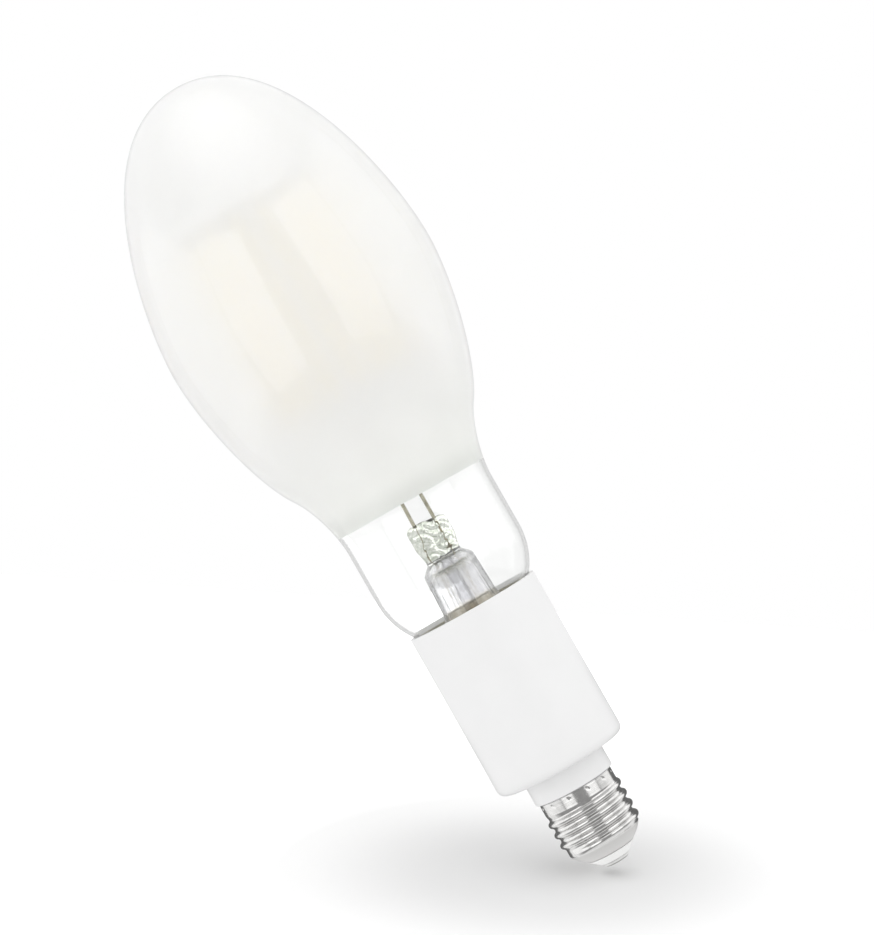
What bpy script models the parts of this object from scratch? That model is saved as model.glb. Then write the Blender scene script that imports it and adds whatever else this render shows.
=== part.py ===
"""High-power LED lamp: elliptical coated bulb, driver housing and 27 mm Edison screw cap.

The lamp's axis is +Z with the dome up. The origin is the middle of the contact's flat underside.
All sizes are in metres, and heights are measured up from that underside.
"""

import math

import bmesh
import bpy
import numpy as np
from mathutils import Matrix

# Clearances and facets
SEAT_GAP = 0.0003
GLASS_SEGMENTS = 32
METAL_SEGMENTS = 28
STEM_SEGMENTS = 20
SMALL_SEGMENTS = 12
LEAD_SIDES = 16
WIRE_SIDES = 8
THIN_WIRE_SIDES = 6
STRIP_SIDES = 6
ROUND_EXPONENT = 2.0
FULL_TURN = 2.0 * math.pi

# Centre contact
CONTACT_RADIUS = 0.0046
CONTACT_THICKNESS = 0.0012
CONTACT_EDGE = 0.0011
CONTACT_EDGE_ROWS = 4
SHANK_RADIUS = 0.0014
SHANK_LENGTH = 0.0056

# Insulator below and inside the screw shell
NOSE_HEIGHT = 0.0025
NOSE_LAND = 0.0003
NOSE_LAP = 0.0002
INSULATOR_WALL = 0.0018
INSULATOR_RIM = 0.0024

# Screw shell, with the standard rounded 27 mm thread
SHELL_WALL = 0.0003
LIP_RADIUS = 0.0078
CONE_HEIGHT = 0.0042
CONE_BULGE = 0.0004
CONE_ROWS = 4
THREAD_LENGTH = 0.0145
THREAD_CREST_RADIUS = 0.01315
THREAD_DEPTH = 0.0011
THREAD_PITCH = 0.003629
THREAD_TURNS = 3.9
THREAD_START_ANGLE = math.radians(150.0)
THREAD_FADE_ANGLE = math.radians(90.0)
THREAD_ROWS_PER_TURN = 6
BAND_STEP = 0.00035
BAND_HEIGHT = 0.0038

# Driver housing
COLLAR_STEP = 0.0010
COLLAR_CHAMFER = 0.0004
COLLAR_LENGTH = 0.0076
SPIGOT_LENGTH = 0.0115
SPIGOT_WALL = 0.0016
HOUSING_LENGTH = 0.0559
HOUSING_WALL = 0.0015
HOUSING_FLOOR = 0.0022
HOUSING_FOOT_ROUND = 0.0025
HOUSING_FOOT_ROWS = 5
HOUSING_RIM_LAND = 0.0011
HOUSING_RIM_ROUND = 0.0003
MOUTH_BEVEL_SLOPE = 1.3
RIB_THICKNESS = 0.0015
RIB_DEPTH = 0.0028

# Glass bulb
GLASS_WALL = 0.0010
MOUTH_CLEARANCE = 0.0004
SEAL_DEPTH = 0.0049
SEAL_RADIUS = 0.0152
SHOULDER_RADIUS = 0.0240
NECK_RADIUS = 0.0251
NECK_LENGTH = 0.0171
NECK_PULL = 0.0070
FILLET_RISE = 0.0227
FILLET_PULL = 0.0071
FLANK_START_RADIUS = 0.0318
FLANK_LEAN = 0.68
FLANK_RISE = 0.0512
FLANK_PULL = 0.0128
BULB_RADIUS = 0.0449
BELLY_PULL_LOW = 0.0152
BELLY_PULL_HIGH = 0.0202
DOME_RISE = 0.0771
CROWN_PULL = 0.0344
DOME_ROWS = 9
FLANK_ROWS = 5
FILLET_ROWS = 5
SHOULDER_ROWS = 5

# White coating inside the bulb
COAT_THICKNESS = 0.0004
CLEAR_BAND_HEIGHT = 0.0376

# Glass stem
STEM_WALL = 0.0013
FLARE_RISE = 0.0058
FLARE_ROWS = 5
STEM_TUBE_RADIUS = 0.0091
STEM_TUBE_HEIGHT = 0.0117
STEM_TAPER = 0.0005
PRESS_SHOULDER = 0.0038
PRESS_SHOULDER_ROWS = 5
PRESS_HEIGHT = 0.0122
PRESS_HALF_WIDTH = 0.0067
PRESS_HALF_DEPTH = 0.0026
PRESS_CORNER = 0.0020
PRESS_CORNER_ROWS = 3
PRESS_EXPONENT = 4.0
HOLLOW_RISE = 0.0024
HOLLOW_HALF_DEPTH = 0.0010
HOLLOW_MARGIN = 0.0012
EXHAUST_HOLE_RADIUS = 0.0009
EXHAUST_HOLE_DROP = 0.0016
EXHAUST_TUBE_RADIUS = 0.0021
EXHAUST_TUBE_WALL = 0.0007
EXHAUST_TUBE_LENGTH = 0.0235
EXHAUST_TUBE_TOP_DROP = 0.0007
EXHAUST_TIP_LENGTH = 0.0022
EXHAUST_TIP_RADIUS = 0.0006

# Leads through the stem
LEAD_SPACING = 0.0066
LEAD_RADIUS = 0.00058
LEAD_TIP = 0.0002
LEAD_SOCKET_DEPTH = 0.0028
LEAD_END_STAND = 0.0010
SEAL_WIRE_RADIUS = 0.00030
SLEEVE_WALL = 0.00030
WIRE_BEND_CLEARANCE = 0.0015
WIRE_PAD_SPACING = 0.0100
WIRE_PAD_DROP = 0.0045
WIRE_ROWS = 18

# Filament cage
CAGE_CLEARANCE = 0.0439
CAGE_RADIUS = 0.0220
CARRIER_THICKNESS = 0.0008
CARRIER_RING_WIDTH = 0.0028
CARRIER_HUB_MARGIN = 0.0008
CARRIER_SPOKE_WIDTH = 0.0022
CARRIER_SPOKES = 4
WINDOW_RIM_ROWS = 8
WINDOW_HUB_ROWS = 4
FILAMENT_COUNT = 16
FILAMENT_LENGTH = 0.0640
FILAMENT_WIDTH = 0.0024
FILAMENT_THICKNESS = 0.0017
TAB_LENGTH = 0.0026
TAB_WIDTH = 0.0011
TAB_THICKNESS = 0.0003
BUSHING_WALL = 0.0009
BUSHING_FLANGE_WIDTH = 0.0007
BUSHING_FLANGE_THICKNESS = 0.0008
BUSHING_TAIL = 0.0022

# Cement between the glass and the housing
CEMENT_TOP_DROP = 0.0018
CEMENT_BOTTOM_DROP = 0.0030
CEMENT_ROWS = 5

# Driver board and what stands on it
BOARD_THICKNESS = 0.0016
BOARD_SIDE_CLEARANCE = 0.0008
BOARD_TOP_CLEARANCE = 0.0045
BOARD_EDGE = 0.0002
PART_SPACING = 0.0018
PART_EDGE = 0.0004
PAD_ROOM = 0.0050
TRANSFORMER_WIDTH = 0.0150
TRANSFORMER_HEIGHT = 0.0160
TRANSFORMER_DEPTH = 0.0110
CORE_LIMB = 0.0028
CORE_DEPTH = 0.0050
INPUT_CAPACITOR_RADIUS = 0.0050
INPUT_CAPACITOR_LENGTH = 0.0160
OUTPUT_CAPACITOR_RADIUS = 0.0040
OUTPUT_CAPACITOR_LENGTH = 0.0120
CAPACITOR_EDGE = 0.0006
CAPACITOR_GROOVE_HEIGHT = 0.0018
FILM_CAPACITOR_WIDTH = 0.0120
FILM_CAPACITOR_DEPTH = 0.0060
FILM_CAPACITOR_HEIGHT = 0.0090
RECTIFIER_WIDTH = 0.0065
RECTIFIER_DEPTH = 0.0025
RECTIFIER_HEIGHT = 0.0050
CHIP_WIDTH = 0.0050
CHIP_DEPTH = 0.0016
CHIP_HEIGHT = 0.0060
CHOKE_RADIUS = 0.0040
CHOKE_LENGTH = 0.0080
CHOKE_FLANGE = 0.0010
CHOKE_WAIST_DEPTH = 0.0008
FUSE_RADIUS = 0.0016
FUSE_LENGTH = 0.0080
FUSE_CAP_LENGTH = 0.0016
FUSE_WAIST_DEPTH = 0.0003

# Wires between the cap and the board
FEED_WIRE_RADIUS = 0.00055
FEED_PAD_SPACING = 0.0080
FEED_PAD_HEIGHT = 0.0036
FEED_CURVE = 0.0060
FEED_WIRE_ROOM = 0.0036
SHELL_WIRE_LAP = 0.0011
FEED_WIRE_ROWS = 14

# Radii that follow from what a piece fits in or over
THREAD_ROOT_RADIUS = THREAD_CREST_RADIUS - THREAD_DEPTH
BAND_RADIUS = THREAD_ROOT_RADIUS + BAND_STEP
COLLAR_RADIUS = BAND_RADIUS + COLLAR_STEP
UPPER_SPIGOT_RADIUS = BAND_RADIUS - SHELL_WALL - SEAT_GAP
LOWER_SPIGOT_RADIUS = THREAD_ROOT_RADIUS - SHELL_WALL - SEAT_GAP
SPIGOT_BORE = LOWER_SPIGOT_RADIUS - SPIGOT_WALL
SHOULDER_CENTRE_RADIUS = NECK_RADIUS - SHOULDER_RADIUS
SHOULDER_RISE = math.sqrt(SHOULDER_RADIUS**2 - (SEAL_RADIUS - SHOULDER_CENTRE_RADIUS) ** 2)

# Heights that follow, from the tip of the cap to the dome
NOSE_Z = CONTACT_THICKNESS + SEAT_GAP
LIP_Z = NOSE_Z + NOSE_HEIGHT
THREAD_LOW_Z = LIP_Z + CONE_HEIGHT
THREAD_HIGH_Z = THREAD_LOW_Z + THREAD_LENGTH
SHELL_RIM_Z = THREAD_HIGH_Z + BAND_HEIGHT
COLLAR_Z = SHELL_RIM_Z + SEAT_GAP
SPIGOT_Z = COLLAR_Z - SPIGOT_LENGTH
HOUSING_BASE_Z = COLLAR_Z + COLLAR_LENGTH
HOUSING_FLOOR_Z = HOUSING_BASE_Z + HOUSING_FLOOR
MOUTH_Z = HOUSING_BASE_Z + HOUSING_LENGTH
SEAL_Z = MOUTH_Z - SEAL_DEPTH
NECK_Z = SEAL_Z + SHOULDER_RISE
FILLET_Z = NECK_Z + NECK_LENGTH
FLANK_Z = FILLET_Z + FILLET_RISE
BELLY_Z = FLANK_Z + FLANK_RISE
DOME_Z = BELLY_Z + DOME_RISE
COAT_EDGE_Z = MOUTH_Z + CLEAR_BAND_HEIGHT

# The housing's wall follows the glass where it enters the mouth
MOUTH_DEPTH_BELOW_NECK = NECK_Z - MOUTH_Z
GLASS_RADIUS_AT_MOUTH = SHOULDER_CENTRE_RADIUS + math.sqrt(SHOULDER_RADIUS**2 - MOUTH_DEPTH_BELOW_NECK**2)
MOUTH_RADIUS = GLASS_RADIUS_AT_MOUTH + MOUTH_CLEARANCE
HOUSING_RADIUS = MOUTH_RADIUS + HOUSING_RIM_LAND
HOUSING_BORE = HOUSING_RADIUS - HOUSING_WALL
CEMENT_TOP_Z = MOUTH_Z - CEMENT_TOP_DROP
CEMENT_BOTTOM_Z = SEAL_Z - CEMENT_BOTTOM_DROP
RIB_TOP_Z = CEMENT_BOTTOM_Z - SEAT_GAP

# Heights on the stem and in the cage
FLARE_RADIUS = SEAL_RADIUS - GLASS_WALL
FLARE_TOP_Z = SEAL_Z + STEM_WALL + FLARE_RISE
TUBE_TOP_Z = FLARE_TOP_Z + STEM_TUBE_HEIGHT
PRESS_Z = TUBE_TOP_Z + PRESS_SHOULDER
PRESS_TOP_Z = PRESS_Z + PRESS_HEIGHT
HOLLOW_TOP_Z = TUBE_TOP_Z + HOLLOW_RISE
SOCKET_Z = PRESS_TOP_Z - LEAD_SOCKET_DEPTH
EXHAUST_TUBE_TOP_Z = HOLLOW_TOP_Z - EXHAUST_TUBE_TOP_DROP
EXHAUST_TIP_Z = EXHAUST_TUBE_TOP_Z - EXHAUST_TUBE_LENGTH
LEAD_X = LEAD_SPACING / 2.0
LEAD_HOLE_RADIUS = LEAD_RADIUS + SEAT_GAP
LOWER_CARRIER_Z = PRESS_TOP_Z + CAGE_CLEARANCE
FILAMENT_Z = LOWER_CARRIER_Z + CARRIER_THICKNESS + SEAT_GAP
UPPER_CARRIER_Z = FILAMENT_Z + FILAMENT_LENGTH + SEAT_GAP
BUSHING_RADIUS = LEAD_HOLE_RADIUS + BUSHING_WALL
BUSHING_HOLE_RADIUS = BUSHING_RADIUS + SEAT_GAP
CARRIER_HUB_RADIUS = LEAD_X + BUSHING_HOLE_RADIUS + CARRIER_HUB_MARGIN

# The board fills the room between the housing's floor and the exhaust tube's tip
BOARD_Z = HOUSING_FLOOR_Z + SEAT_GAP
BOARD_TOP_Z = EXHAUST_TIP_Z - BOARD_TOP_CLEARANCE
BOARD_HALF_WIDTH = HOUSING_BORE - BOARD_SIDE_CLEARANCE
BOARD_FACE = BOARD_THICKNESS / 2.0 + SEAT_GAP


def finish(name, colour, roughness, metallic=0.0, transmission=0.0):
    """One Principled material."""
    material = bpy.data.materials.new(name)
    material.use_nodes = True
    shader = material.node_tree.nodes["Principled BSDF"]
    shader.inputs["Base Color"].default_value = (*colour, 1.0)
    shader.inputs["Roughness"].default_value = roughness
    shader.inputs["Metallic"].default_value = metallic
    shader.inputs["Transmission Weight"].default_value = transmission
    material.diffuse_color = (*colour, 1.0)
    return material


def make_finishes():
    """Every material of the lamp, by name."""
    return {
        "clear glass": finish("clear glass", (0.95, 0.97, 0.96), 0.03, transmission=1.0),
        "white coating": finish("white coating", (0.90, 0.90, 0.88), 0.6),
        "nickel wire": finish("nickel wire", (0.42, 0.40, 0.33), 0.35, metallic=1.0),
        "seal wire": finish("seal wire", (0.45, 0.30, 0.18), 0.4, metallic=1.0),
        "carrier steel": finish("carrier steel", (0.55, 0.54, 0.50), 0.4, metallic=1.0),
        "filament": finish("filament", (0.90, 0.66, 0.22), 0.5),
        "ceramic": finish("ceramic", (0.86, 0.84, 0.78), 0.5),
        "cement": finish("cement", (0.30, 0.28, 0.20), 0.8),
        "white moulding": finish("white moulding", (0.86, 0.86, 0.86), 0.4),
        "nickel plate": finish("nickel plate", (0.72, 0.71, 0.69), 0.2, metallic=1.0),
        "contact metal": finish("contact metal", (0.70, 0.69, 0.66), 0.3, metallic=1.0),
        "pale insulator": finish("pale insulator", (0.80, 0.80, 0.78), 0.45),
        "board laminate": finish("board laminate", (0.10, 0.28, 0.14), 0.5),
        "ferrite": finish("ferrite", (0.08, 0.08, 0.09), 0.6),
        "winding tape": finish("winding tape", (0.80, 0.62, 0.12), 0.45),
        "capacitor sleeve": finish("capacitor sleeve", (0.06, 0.07, 0.12), 0.4),
        "film capacitor case": finish("film capacitor case", (0.72, 0.52, 0.10), 0.4),
        "chip epoxy": finish("chip epoxy", (0.04, 0.04, 0.045), 0.5),
        "resistor lacquer": finish("resistor lacquer", (0.30, 0.42, 0.36), 0.4),
        "wire insulation": finish("wire insulation", (0.80, 0.78, 0.72), 0.5),
    }


def clear_scene():
    """Remove every object that is already in the scene."""
    for existing in list(bpy.data.objects):
        bpy.data.objects.remove(existing, do_unlink=True)


def smoothstep(value, low, high):
    """0 below low, 1 above high and a smooth S between."""
    share = np.clip((value - low) / (high - low), 0.0, 1.0)
    return share * share * (3.0 - 2.0 * share)


def bezier(start, start_pull, end_pull, end, rows):
    """Points of one cubic curve from start to end, shaped by its two pull points."""
    share = np.linspace(0.0, 1.0, rows)[:, None]
    rest = 1.0 - share
    near_start = rest**3 * start + 3.0 * rest**2 * share * start_pull
    near_end = 3.0 * rest * share**2 * end_pull + share**3 * end
    return near_start + near_end


def arc(centre, radius, start_angle, end_angle, rows):
    """Points of a circular arc in the radius and height plane, angles in degrees."""
    angles = np.radians(np.linspace(start_angle, end_angle, rows))
    return np.column_stack((centre[0] + radius * np.cos(angles), centre[1] + radius * np.sin(angles)))


def offset_outline(points, distance):
    """Move an outline along its normals, outwards where it runs from the axis and down."""
    travel = np.gradient(points, axis=0)
    travel /= np.linalg.norm(travel, axis=1)[:, None]
    moved = points + distance * np.column_stack((-travel[:, 1], travel[:, 0]))
    moved[points[:, 0] == 0.0, 0] = 0.0
    return moved


def clip_below(points, height):
    """Keep the part of a falling outline that is above a height, and end it exactly there."""
    kept = points[points[:, 1] > height]
    high, low = points[len(kept) - 1], points[len(kept)]
    share = (high[1] - height) / (high[1] - low[1])
    return np.vstack((kept, high + share * (low - high)))


def add_object(name, mesh, material, lamp, sharp_angle=40.0):
    """Link a mesh under the lamp's axis, shaded smooth up to the sharp angle."""
    mesh.shade_smooth()
    mesh.set_sharp_from_angle(angle=math.radians(sharp_angle))
    piece = bpy.data.objects.new(name, mesh)
    bpy.context.scene.collection.objects.link(piece)
    piece.parent = lamp
    mesh.materials.clear()
    mesh.materials.append(material)
    return piece


def closed_mesh(name, vertices, faces):
    """A mesh from vertices and faces, with its normals turned outwards."""
    mesh = bpy.data.meshes.new(name)
    mesh.from_pydata([tuple(vertex) for vertex in vertices], [], faces)
    shape = bmesh.new()
    shape.from_mesh(mesh)
    bmesh.ops.recalc_face_normals(shape, faces=shape.faces)
    shape.to_mesh(mesh)
    shape.free()
    return mesh


def turned_mesh(name, outline, segments):
    """Carry an outline of radius and height points round the axis; points on the axis become poles."""
    vertices = []
    rings = []
    angles = [FULL_TURN * index / segments for index in range(segments)]
    for radius, height in outline:
        first = len(vertices)
        if radius == 0.0:
            vertices.append((0.0, 0.0, height))
            rings.append([first])
            continue
        vertices += [(radius * math.cos(angle), radius * math.sin(angle), height) for angle in angles]
        rings.append(list(range(first, first + segments)))
    faces = []
    for ring, following in zip(rings, rings[1:] + rings[:1]):
        for index in range(segments):
            after = (index + 1) % segments
            corners = [ring[index % len(ring)], ring[after % len(ring)]]
            corners += [following[after % len(following)], following[index % len(following)]]
            corners = list(dict.fromkeys(corners))
            if len(corners) > 2:
                faces.append(corners)
    return closed_mesh(name, vertices, faces)


def lofted_mesh(name, rows, wrap_rows=False):
    """Skin rows of points that each go once round; the ends are capped unless the rows wrap."""
    rows = np.asarray(rows)
    count, sides = rows.shape[:2]
    faces = []
    last = count if wrap_rows else count - 1
    for row in range(last):
        following = (row + 1) % count
        for side in range(sides):
            after = (side + 1) % sides
            corners = (row * sides + side, row * sides + after)
            faces.append(corners + (following * sides + after, following * sides + side))
    if not wrap_rows:
        faces.append(tuple(range(sides)))
        faces.append(tuple(range((count - 1) * sides, count * sides)))
    return closed_mesh(name, rows.reshape(-1, 3), faces)


def plate_mesh(name, loops, thickness):
    """A flat plate with its lower face at height zero, from an outer loop and the loops of its holes."""
    shape = bmesh.new()
    edges = []
    for loop in loops:
        corners = [shape.verts.new((x, y, 0.0)) for x, y in loop]
        edges += [shape.edges.new(pair) for pair in zip(corners, corners[1:] + corners[:1])]
    filled = bmesh.ops.triangle_fill(shape, use_beauty=True, use_dissolve=False, edges=edges)
    faces = [item for item in filled["geom"] if isinstance(item, bmesh.types.BMFace)]
    raised = bmesh.ops.extrude_face_region(shape, geom=faces, use_keep_orig=True)
    moved = [item for item in raised["geom"] if isinstance(item, bmesh.types.BMVert)]
    bmesh.ops.translate(shape, verts=moved, vec=(0.0, 0.0, thickness))
    bmesh.ops.recalc_face_normals(shape, faces=shape.faces)
    mesh = bpy.data.meshes.new(name)
    shape.to_mesh(mesh)
    shape.free()
    return mesh


def circle_loop(radius, centre=(0.0, 0.0), sides=SMALL_SEGMENTS):
    """Corners of a circle in the plane."""
    angles = [FULL_TURN * index / sides for index in range(sides)]
    return [(centre[0] + radius * math.cos(angle), centre[1] + radius * math.sin(angle)) for angle in angles]


def rectangle_loop(low, high):
    """Corners of an upright rectangle in the plane."""
    return [(low[0], low[1]), (high[0], low[1]), (high[0], high[1]), (low[0], high[1])]


def block(name, low, high, material, lamp, edge=PART_EDGE):
    """A box between two corners with bevelled edges."""
    sides = [upper - lower for lower, upper in zip(low, high)]
    shape = bmesh.new()
    bmesh.ops.create_cube(shape, size=1.0)
    bmesh.ops.scale(shape, verts=shape.verts, vec=sides)
    mesh = bpy.data.meshes.new(name)
    shape.to_mesh(mesh)
    shape.free()
    piece = add_object(name, mesh, material, lamp)
    piece.location = [(lower + upper) / 2.0 for lower, upper in zip(low, high)]
    bevel = piece.modifiers.new("edges", "BEVEL")
    bevel.width = edge
    bevel.segments = 1
    return piece


def make_cutter(name, mesh, lamp):
    """An object that only shapes another piece."""
    cutter = bpy.data.objects.new(name, mesh)
    bpy.context.scene.collection.objects.link(cutter)
    cutter.parent = lamp
    cutter.hide_render = True
    cutter.display_type = "WIRE"
    return cutter


def shape_with(piece, cutter, operation):
    """Cut a cutter out of a piece, or join it on."""
    change = piece.modifiers.new(cutter.name, "BOOLEAN")
    change.operation = operation
    change.solver = "EXACT"
    change.object = cutter


def smooth_route(points, rows):
    """A smooth curve that passes through every point of a route."""
    points = np.asarray(points, dtype=float)
    padded = np.vstack((2.0 * points[0] - points[1], points, 2.0 * points[-1] - points[-2]))
    place = np.linspace(0.0, len(points) - 1.0, rows)
    span = np.minimum(place.astype(int), len(points) - 2)
    share = (place - span)[:, None]
    before, start, end, after = (padded[span + step] for step in range(4))
    bend = 2.0 * before - 5.0 * start + 4.0 * end - after
    twist = 3.0 * start - before - 3.0 * end + after
    return start + 0.5 * share * (end - before + share * (bend + share * twist))


def pipe_rows(route, radius, sides=WIRE_SIDES):
    """Rings of points round a route, each square to it and turned as little as possible."""
    route = np.asarray(route)
    travel = np.gradient(route, axis=0)
    travel /= np.linalg.norm(travel, axis=1)[:, None]
    across = np.cross(travel[0], (0.0, 1.0, 0.0))
    rows = []
    angles = np.linspace(0.0, FULL_TURN, sides, endpoint=False)[:, None]
    for point, direction in zip(route, travel):
        across = across - direction * np.dot(across, direction)
        across /= np.linalg.norm(across)
        upright = np.cross(direction, across)
        rows.append(point + radius * (np.cos(angles) * across + np.sin(angles) * upright))
    return rows


def envelope_outline():
    """Outer outline of the bulb, from the crown down to the seal inside the housing."""
    down = np.array((0.0, -1.0))
    inwards = np.array((-FLANK_LEAN, -1.0)) / math.hypot(FLANK_LEAN, 1.0)
    crown = np.array((0.0, DOME_Z))
    belly = np.array((BULB_RADIUS, BELLY_Z))
    flank = np.array((FLANK_START_RADIUS, FLANK_Z))
    neck = np.array((NECK_RADIUS, FILLET_Z))
    crown_pull = crown + np.array((CROWN_PULL, 0.0))
    dome = bezier(crown, crown_pull, belly - down * BELLY_PULL_HIGH, belly, DOME_ROWS)
    side = bezier(belly, belly + down * BELLY_PULL_LOW, flank - inwards * FLANK_PULL, flank, FLANK_ROWS)
    fillet = bezier(flank, flank + inwards * FILLET_PULL, neck - down * NECK_PULL, neck, FILLET_ROWS)
    seal_angle = -math.degrees(math.asin(SHOULDER_RISE / SHOULDER_RADIUS))
    shoulder = arc((SHOULDER_CENTRE_RADIUS, NECK_Z), SHOULDER_RADIUS, 0.0, seal_angle, SHOULDER_ROWS)
    return np.vstack((dome, side[1:], fillet[1:], shoulder))


def make_envelope(lamp, finishes):
    """Blown bulb: one even wall along the outline, open at the seal."""
    outer = envelope_outline()
    inner = offset_outline(outer, -GLASS_WALL)
    mesh = turned_mesh("glass_envelope", np.vstack((outer, inner[::-1])), GLASS_SEGMENTS)
    add_object("glass_envelope", mesh, finishes["clear glass"], lamp)


def make_coating(lamp, finishes):
    """White layer inside the bulb, ending in a straight edge above the neck."""
    glass = envelope_outline()
    outer = clip_below(offset_outline(glass, -GLASS_WALL - SEAT_GAP), COAT_EDGE_Z)
    inner = clip_below(offset_outline(glass, -GLASS_WALL - SEAT_GAP - COAT_THICKNESS), COAT_EDGE_Z)
    mesh = turned_mesh("diffusing_coat", np.vstack((outer, inner[::-1])), GLASS_SEGMENTS)
    add_object("diffusing_coat", mesh, finishes["white coating"], lamp)


def section(half_width, half_depth, exponent, height, sides=STEM_SEGMENTS):
    """One row of a superellipse: round at exponent 2, a rounded rectangle at 4."""
    angles = np.linspace(0.0, FULL_TURN, sides, endpoint=False)
    power = ROUND_EXPONENT / exponent
    across = half_width * np.sign(np.cos(angles)) * np.abs(np.cos(angles)) ** power
    along = half_depth * np.sign(np.sin(angles)) * np.abs(np.sin(angles)) ** power
    return np.column_stack((across, along, np.full(sides, height)))


def flare_rows(tube_radius, low_z):
    """Trumpet from the seal's radius up and in to a tube, a quarter ellipse in section."""
    rows = []
    for angle in np.radians(np.linspace(0.0, 90.0, FLARE_ROWS)):
        radius = tube_radius + (FLARE_RADIUS - tube_radius) * (1.0 - math.sin(angle))
        height = low_z + FLARE_RISE * (1.0 - math.cos(angle))
        rows.append(section(radius, radius, ROUND_EXPONENT, height))
    return rows


def press_rows():
    """The tube's round section is squeezed to the flat press, whose top corners are rounded."""
    rows = []
    top_radius = STEM_TUBE_RADIUS - STEM_TAPER
    for share in np.linspace(0.0, 1.0, PRESS_SHOULDER_ROWS):
        blend = float(smoothstep(share, 0.0, 1.0))
        half_width = top_radius + blend * (PRESS_HALF_WIDTH - top_radius)
        half_depth = top_radius + blend * (PRESS_HALF_DEPTH - top_radius)
        exponent = ROUND_EXPONENT + blend * (PRESS_EXPONENT - ROUND_EXPONENT)
        rows.append(section(half_width, half_depth, exponent, TUBE_TOP_Z + share * PRESS_SHOULDER))
    for angle in np.radians(np.linspace(0.0, 90.0, PRESS_CORNER_ROWS + 1)):
        drawn_in = PRESS_CORNER * (1.0 - math.cos(angle))
        height = PRESS_TOP_Z - PRESS_CORNER * (1.0 - math.sin(angle))
        half_width = PRESS_HALF_WIDTH - drawn_in
        rows.append(section(half_width, PRESS_HALF_DEPTH - drawn_in, PRESS_EXPONENT, height))
    return rows


def hollow_rows():
    """Top of the stem's hollow: it narrows to a slot just under the press."""
    bore = STEM_TUBE_RADIUS - STEM_WALL
    bore_top = bore - STEM_TAPER
    slot = LEAD_X + HOLLOW_MARGIN
    top = (slot, HOLLOW_HALF_DEPTH, HOLLOW_TOP_Z)
    foot = (bore_top, bore_top, TUBE_TOP_Z)
    middle = tuple((high + low) / 2.0 for high, low in zip(top, foot))
    rows = []
    for half_width, half_depth, height in (top, middle, foot):
        rows.append(section(half_width, half_depth, ROUND_EXPONENT, height))
    return rows


def turned_cutter(name, steps, lamp):
    """Upright round cutter from steps of radius and height, with a flat end at the first and the last."""
    outline = [(0.0, steps[0][1])] + steps + [(0.0, steps[-1][1])]
    cutter = make_cutter(name, turned_mesh(name, outline, SMALL_SEGMENTS), lamp)
    half_facet = FULL_TURN / SMALL_SEGMENTS / 2.0
    cutter.data.transform(Matrix.Rotation(half_facet, 4, "Z"))
    return cutter


def make_stem(lamp, finishes):
    """Flare, tube and press in one glass piece, with a stepped passage for each lead and the exhaust hole."""
    inner = flare_rows(STEM_TUBE_RADIUS - STEM_WALL, SEAL_Z)[::-1]
    outer = flare_rows(STEM_TUBE_RADIUS, SEAL_Z + STEM_WALL)
    mesh = lofted_mesh("glass_stem", hollow_rows() + inner + outer + press_rows())
    stem = add_object("glass_stem", mesh, finishes["clear glass"], lamp)
    bore_radius = SEAL_WIRE_RADIUS + SEAT_GAP
    bore = [(bore_radius, HOLLOW_TOP_Z - SEAT_GAP), (bore_radius, SOCKET_Z)]
    socket = [(LEAD_HOLE_RADIUS, SOCKET_Z), (LEAD_HOLE_RADIUS, PRESS_TOP_Z + LEAD_SOCKET_DEPTH)]
    for side, place in (("left", -LEAD_X), ("right", LEAD_X)):
        passage = turned_cutter(f"lead_passage_{side}", bore + socket, lamp)
        passage.location = (place, 0.0, 0.0)
        shape_with(stem, passage, "DIFFERENCE")
    across = [(EXHAUST_HOLE_RADIUS, 0.0), (EXHAUST_HOLE_RADIUS, STEM_TUBE_RADIUS + STEM_WALL)]
    hole = turned_cutter("exhaust_hole", across, lamp)
    hole.rotation_euler = (math.radians(-90.0), 0.0, 0.0)
    hole.location = (0.0, 0.0, TUBE_TOP_Z - EXHAUST_HOLE_DROP)
    shape_with(stem, hole, "DIFFERENCE")


def make_exhaust_tube(lamp, finishes):
    """Narrow tube inside the stem, open at the top and drawn to a sealed tip."""
    bore = EXHAUST_TUBE_RADIUS - EXHAUST_TUBE_WALL
    tip_top = EXHAUST_TIP_Z + EXHAUST_TIP_LENGTH
    outline = [
        (0.0, EXHAUST_TIP_Z),
        (EXHAUST_TIP_RADIUS, EXHAUST_TIP_Z),
        (EXHAUST_TUBE_RADIUS, tip_top),
        (EXHAUST_TUBE_RADIUS, EXHAUST_TUBE_TOP_Z),
        (bore, EXHAUST_TUBE_TOP_Z),
        (bore, tip_top + EXHAUST_TUBE_WALL),
        (0.0, tip_top),
    ]
    mesh = turned_mesh("exhaust_tube", outline, SMALL_SEGMENTS)
    add_object("exhaust_tube", mesh, finishes["clear glass"], lamp)


def make_support_lead(name, place, top_z, lamp, finishes):
    """Stout wire from its socket in the press up to a carrier."""
    outline = [
        (0.0, SOCKET_Z + SEAT_GAP),
        (LEAD_RADIUS, SOCKET_Z + SEAT_GAP),
        (LEAD_RADIUS, top_z - LEAD_TIP),
        (LEAD_RADIUS - LEAD_TIP, top_z),
        (0.0, top_z),
    ]
    mesh = turned_mesh(name, outline, LEAD_SIDES)
    lead = add_object(name, mesh, finishes["nickel wire"], lamp)
    lead.location = (place, 0.0, 0.0)


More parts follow.
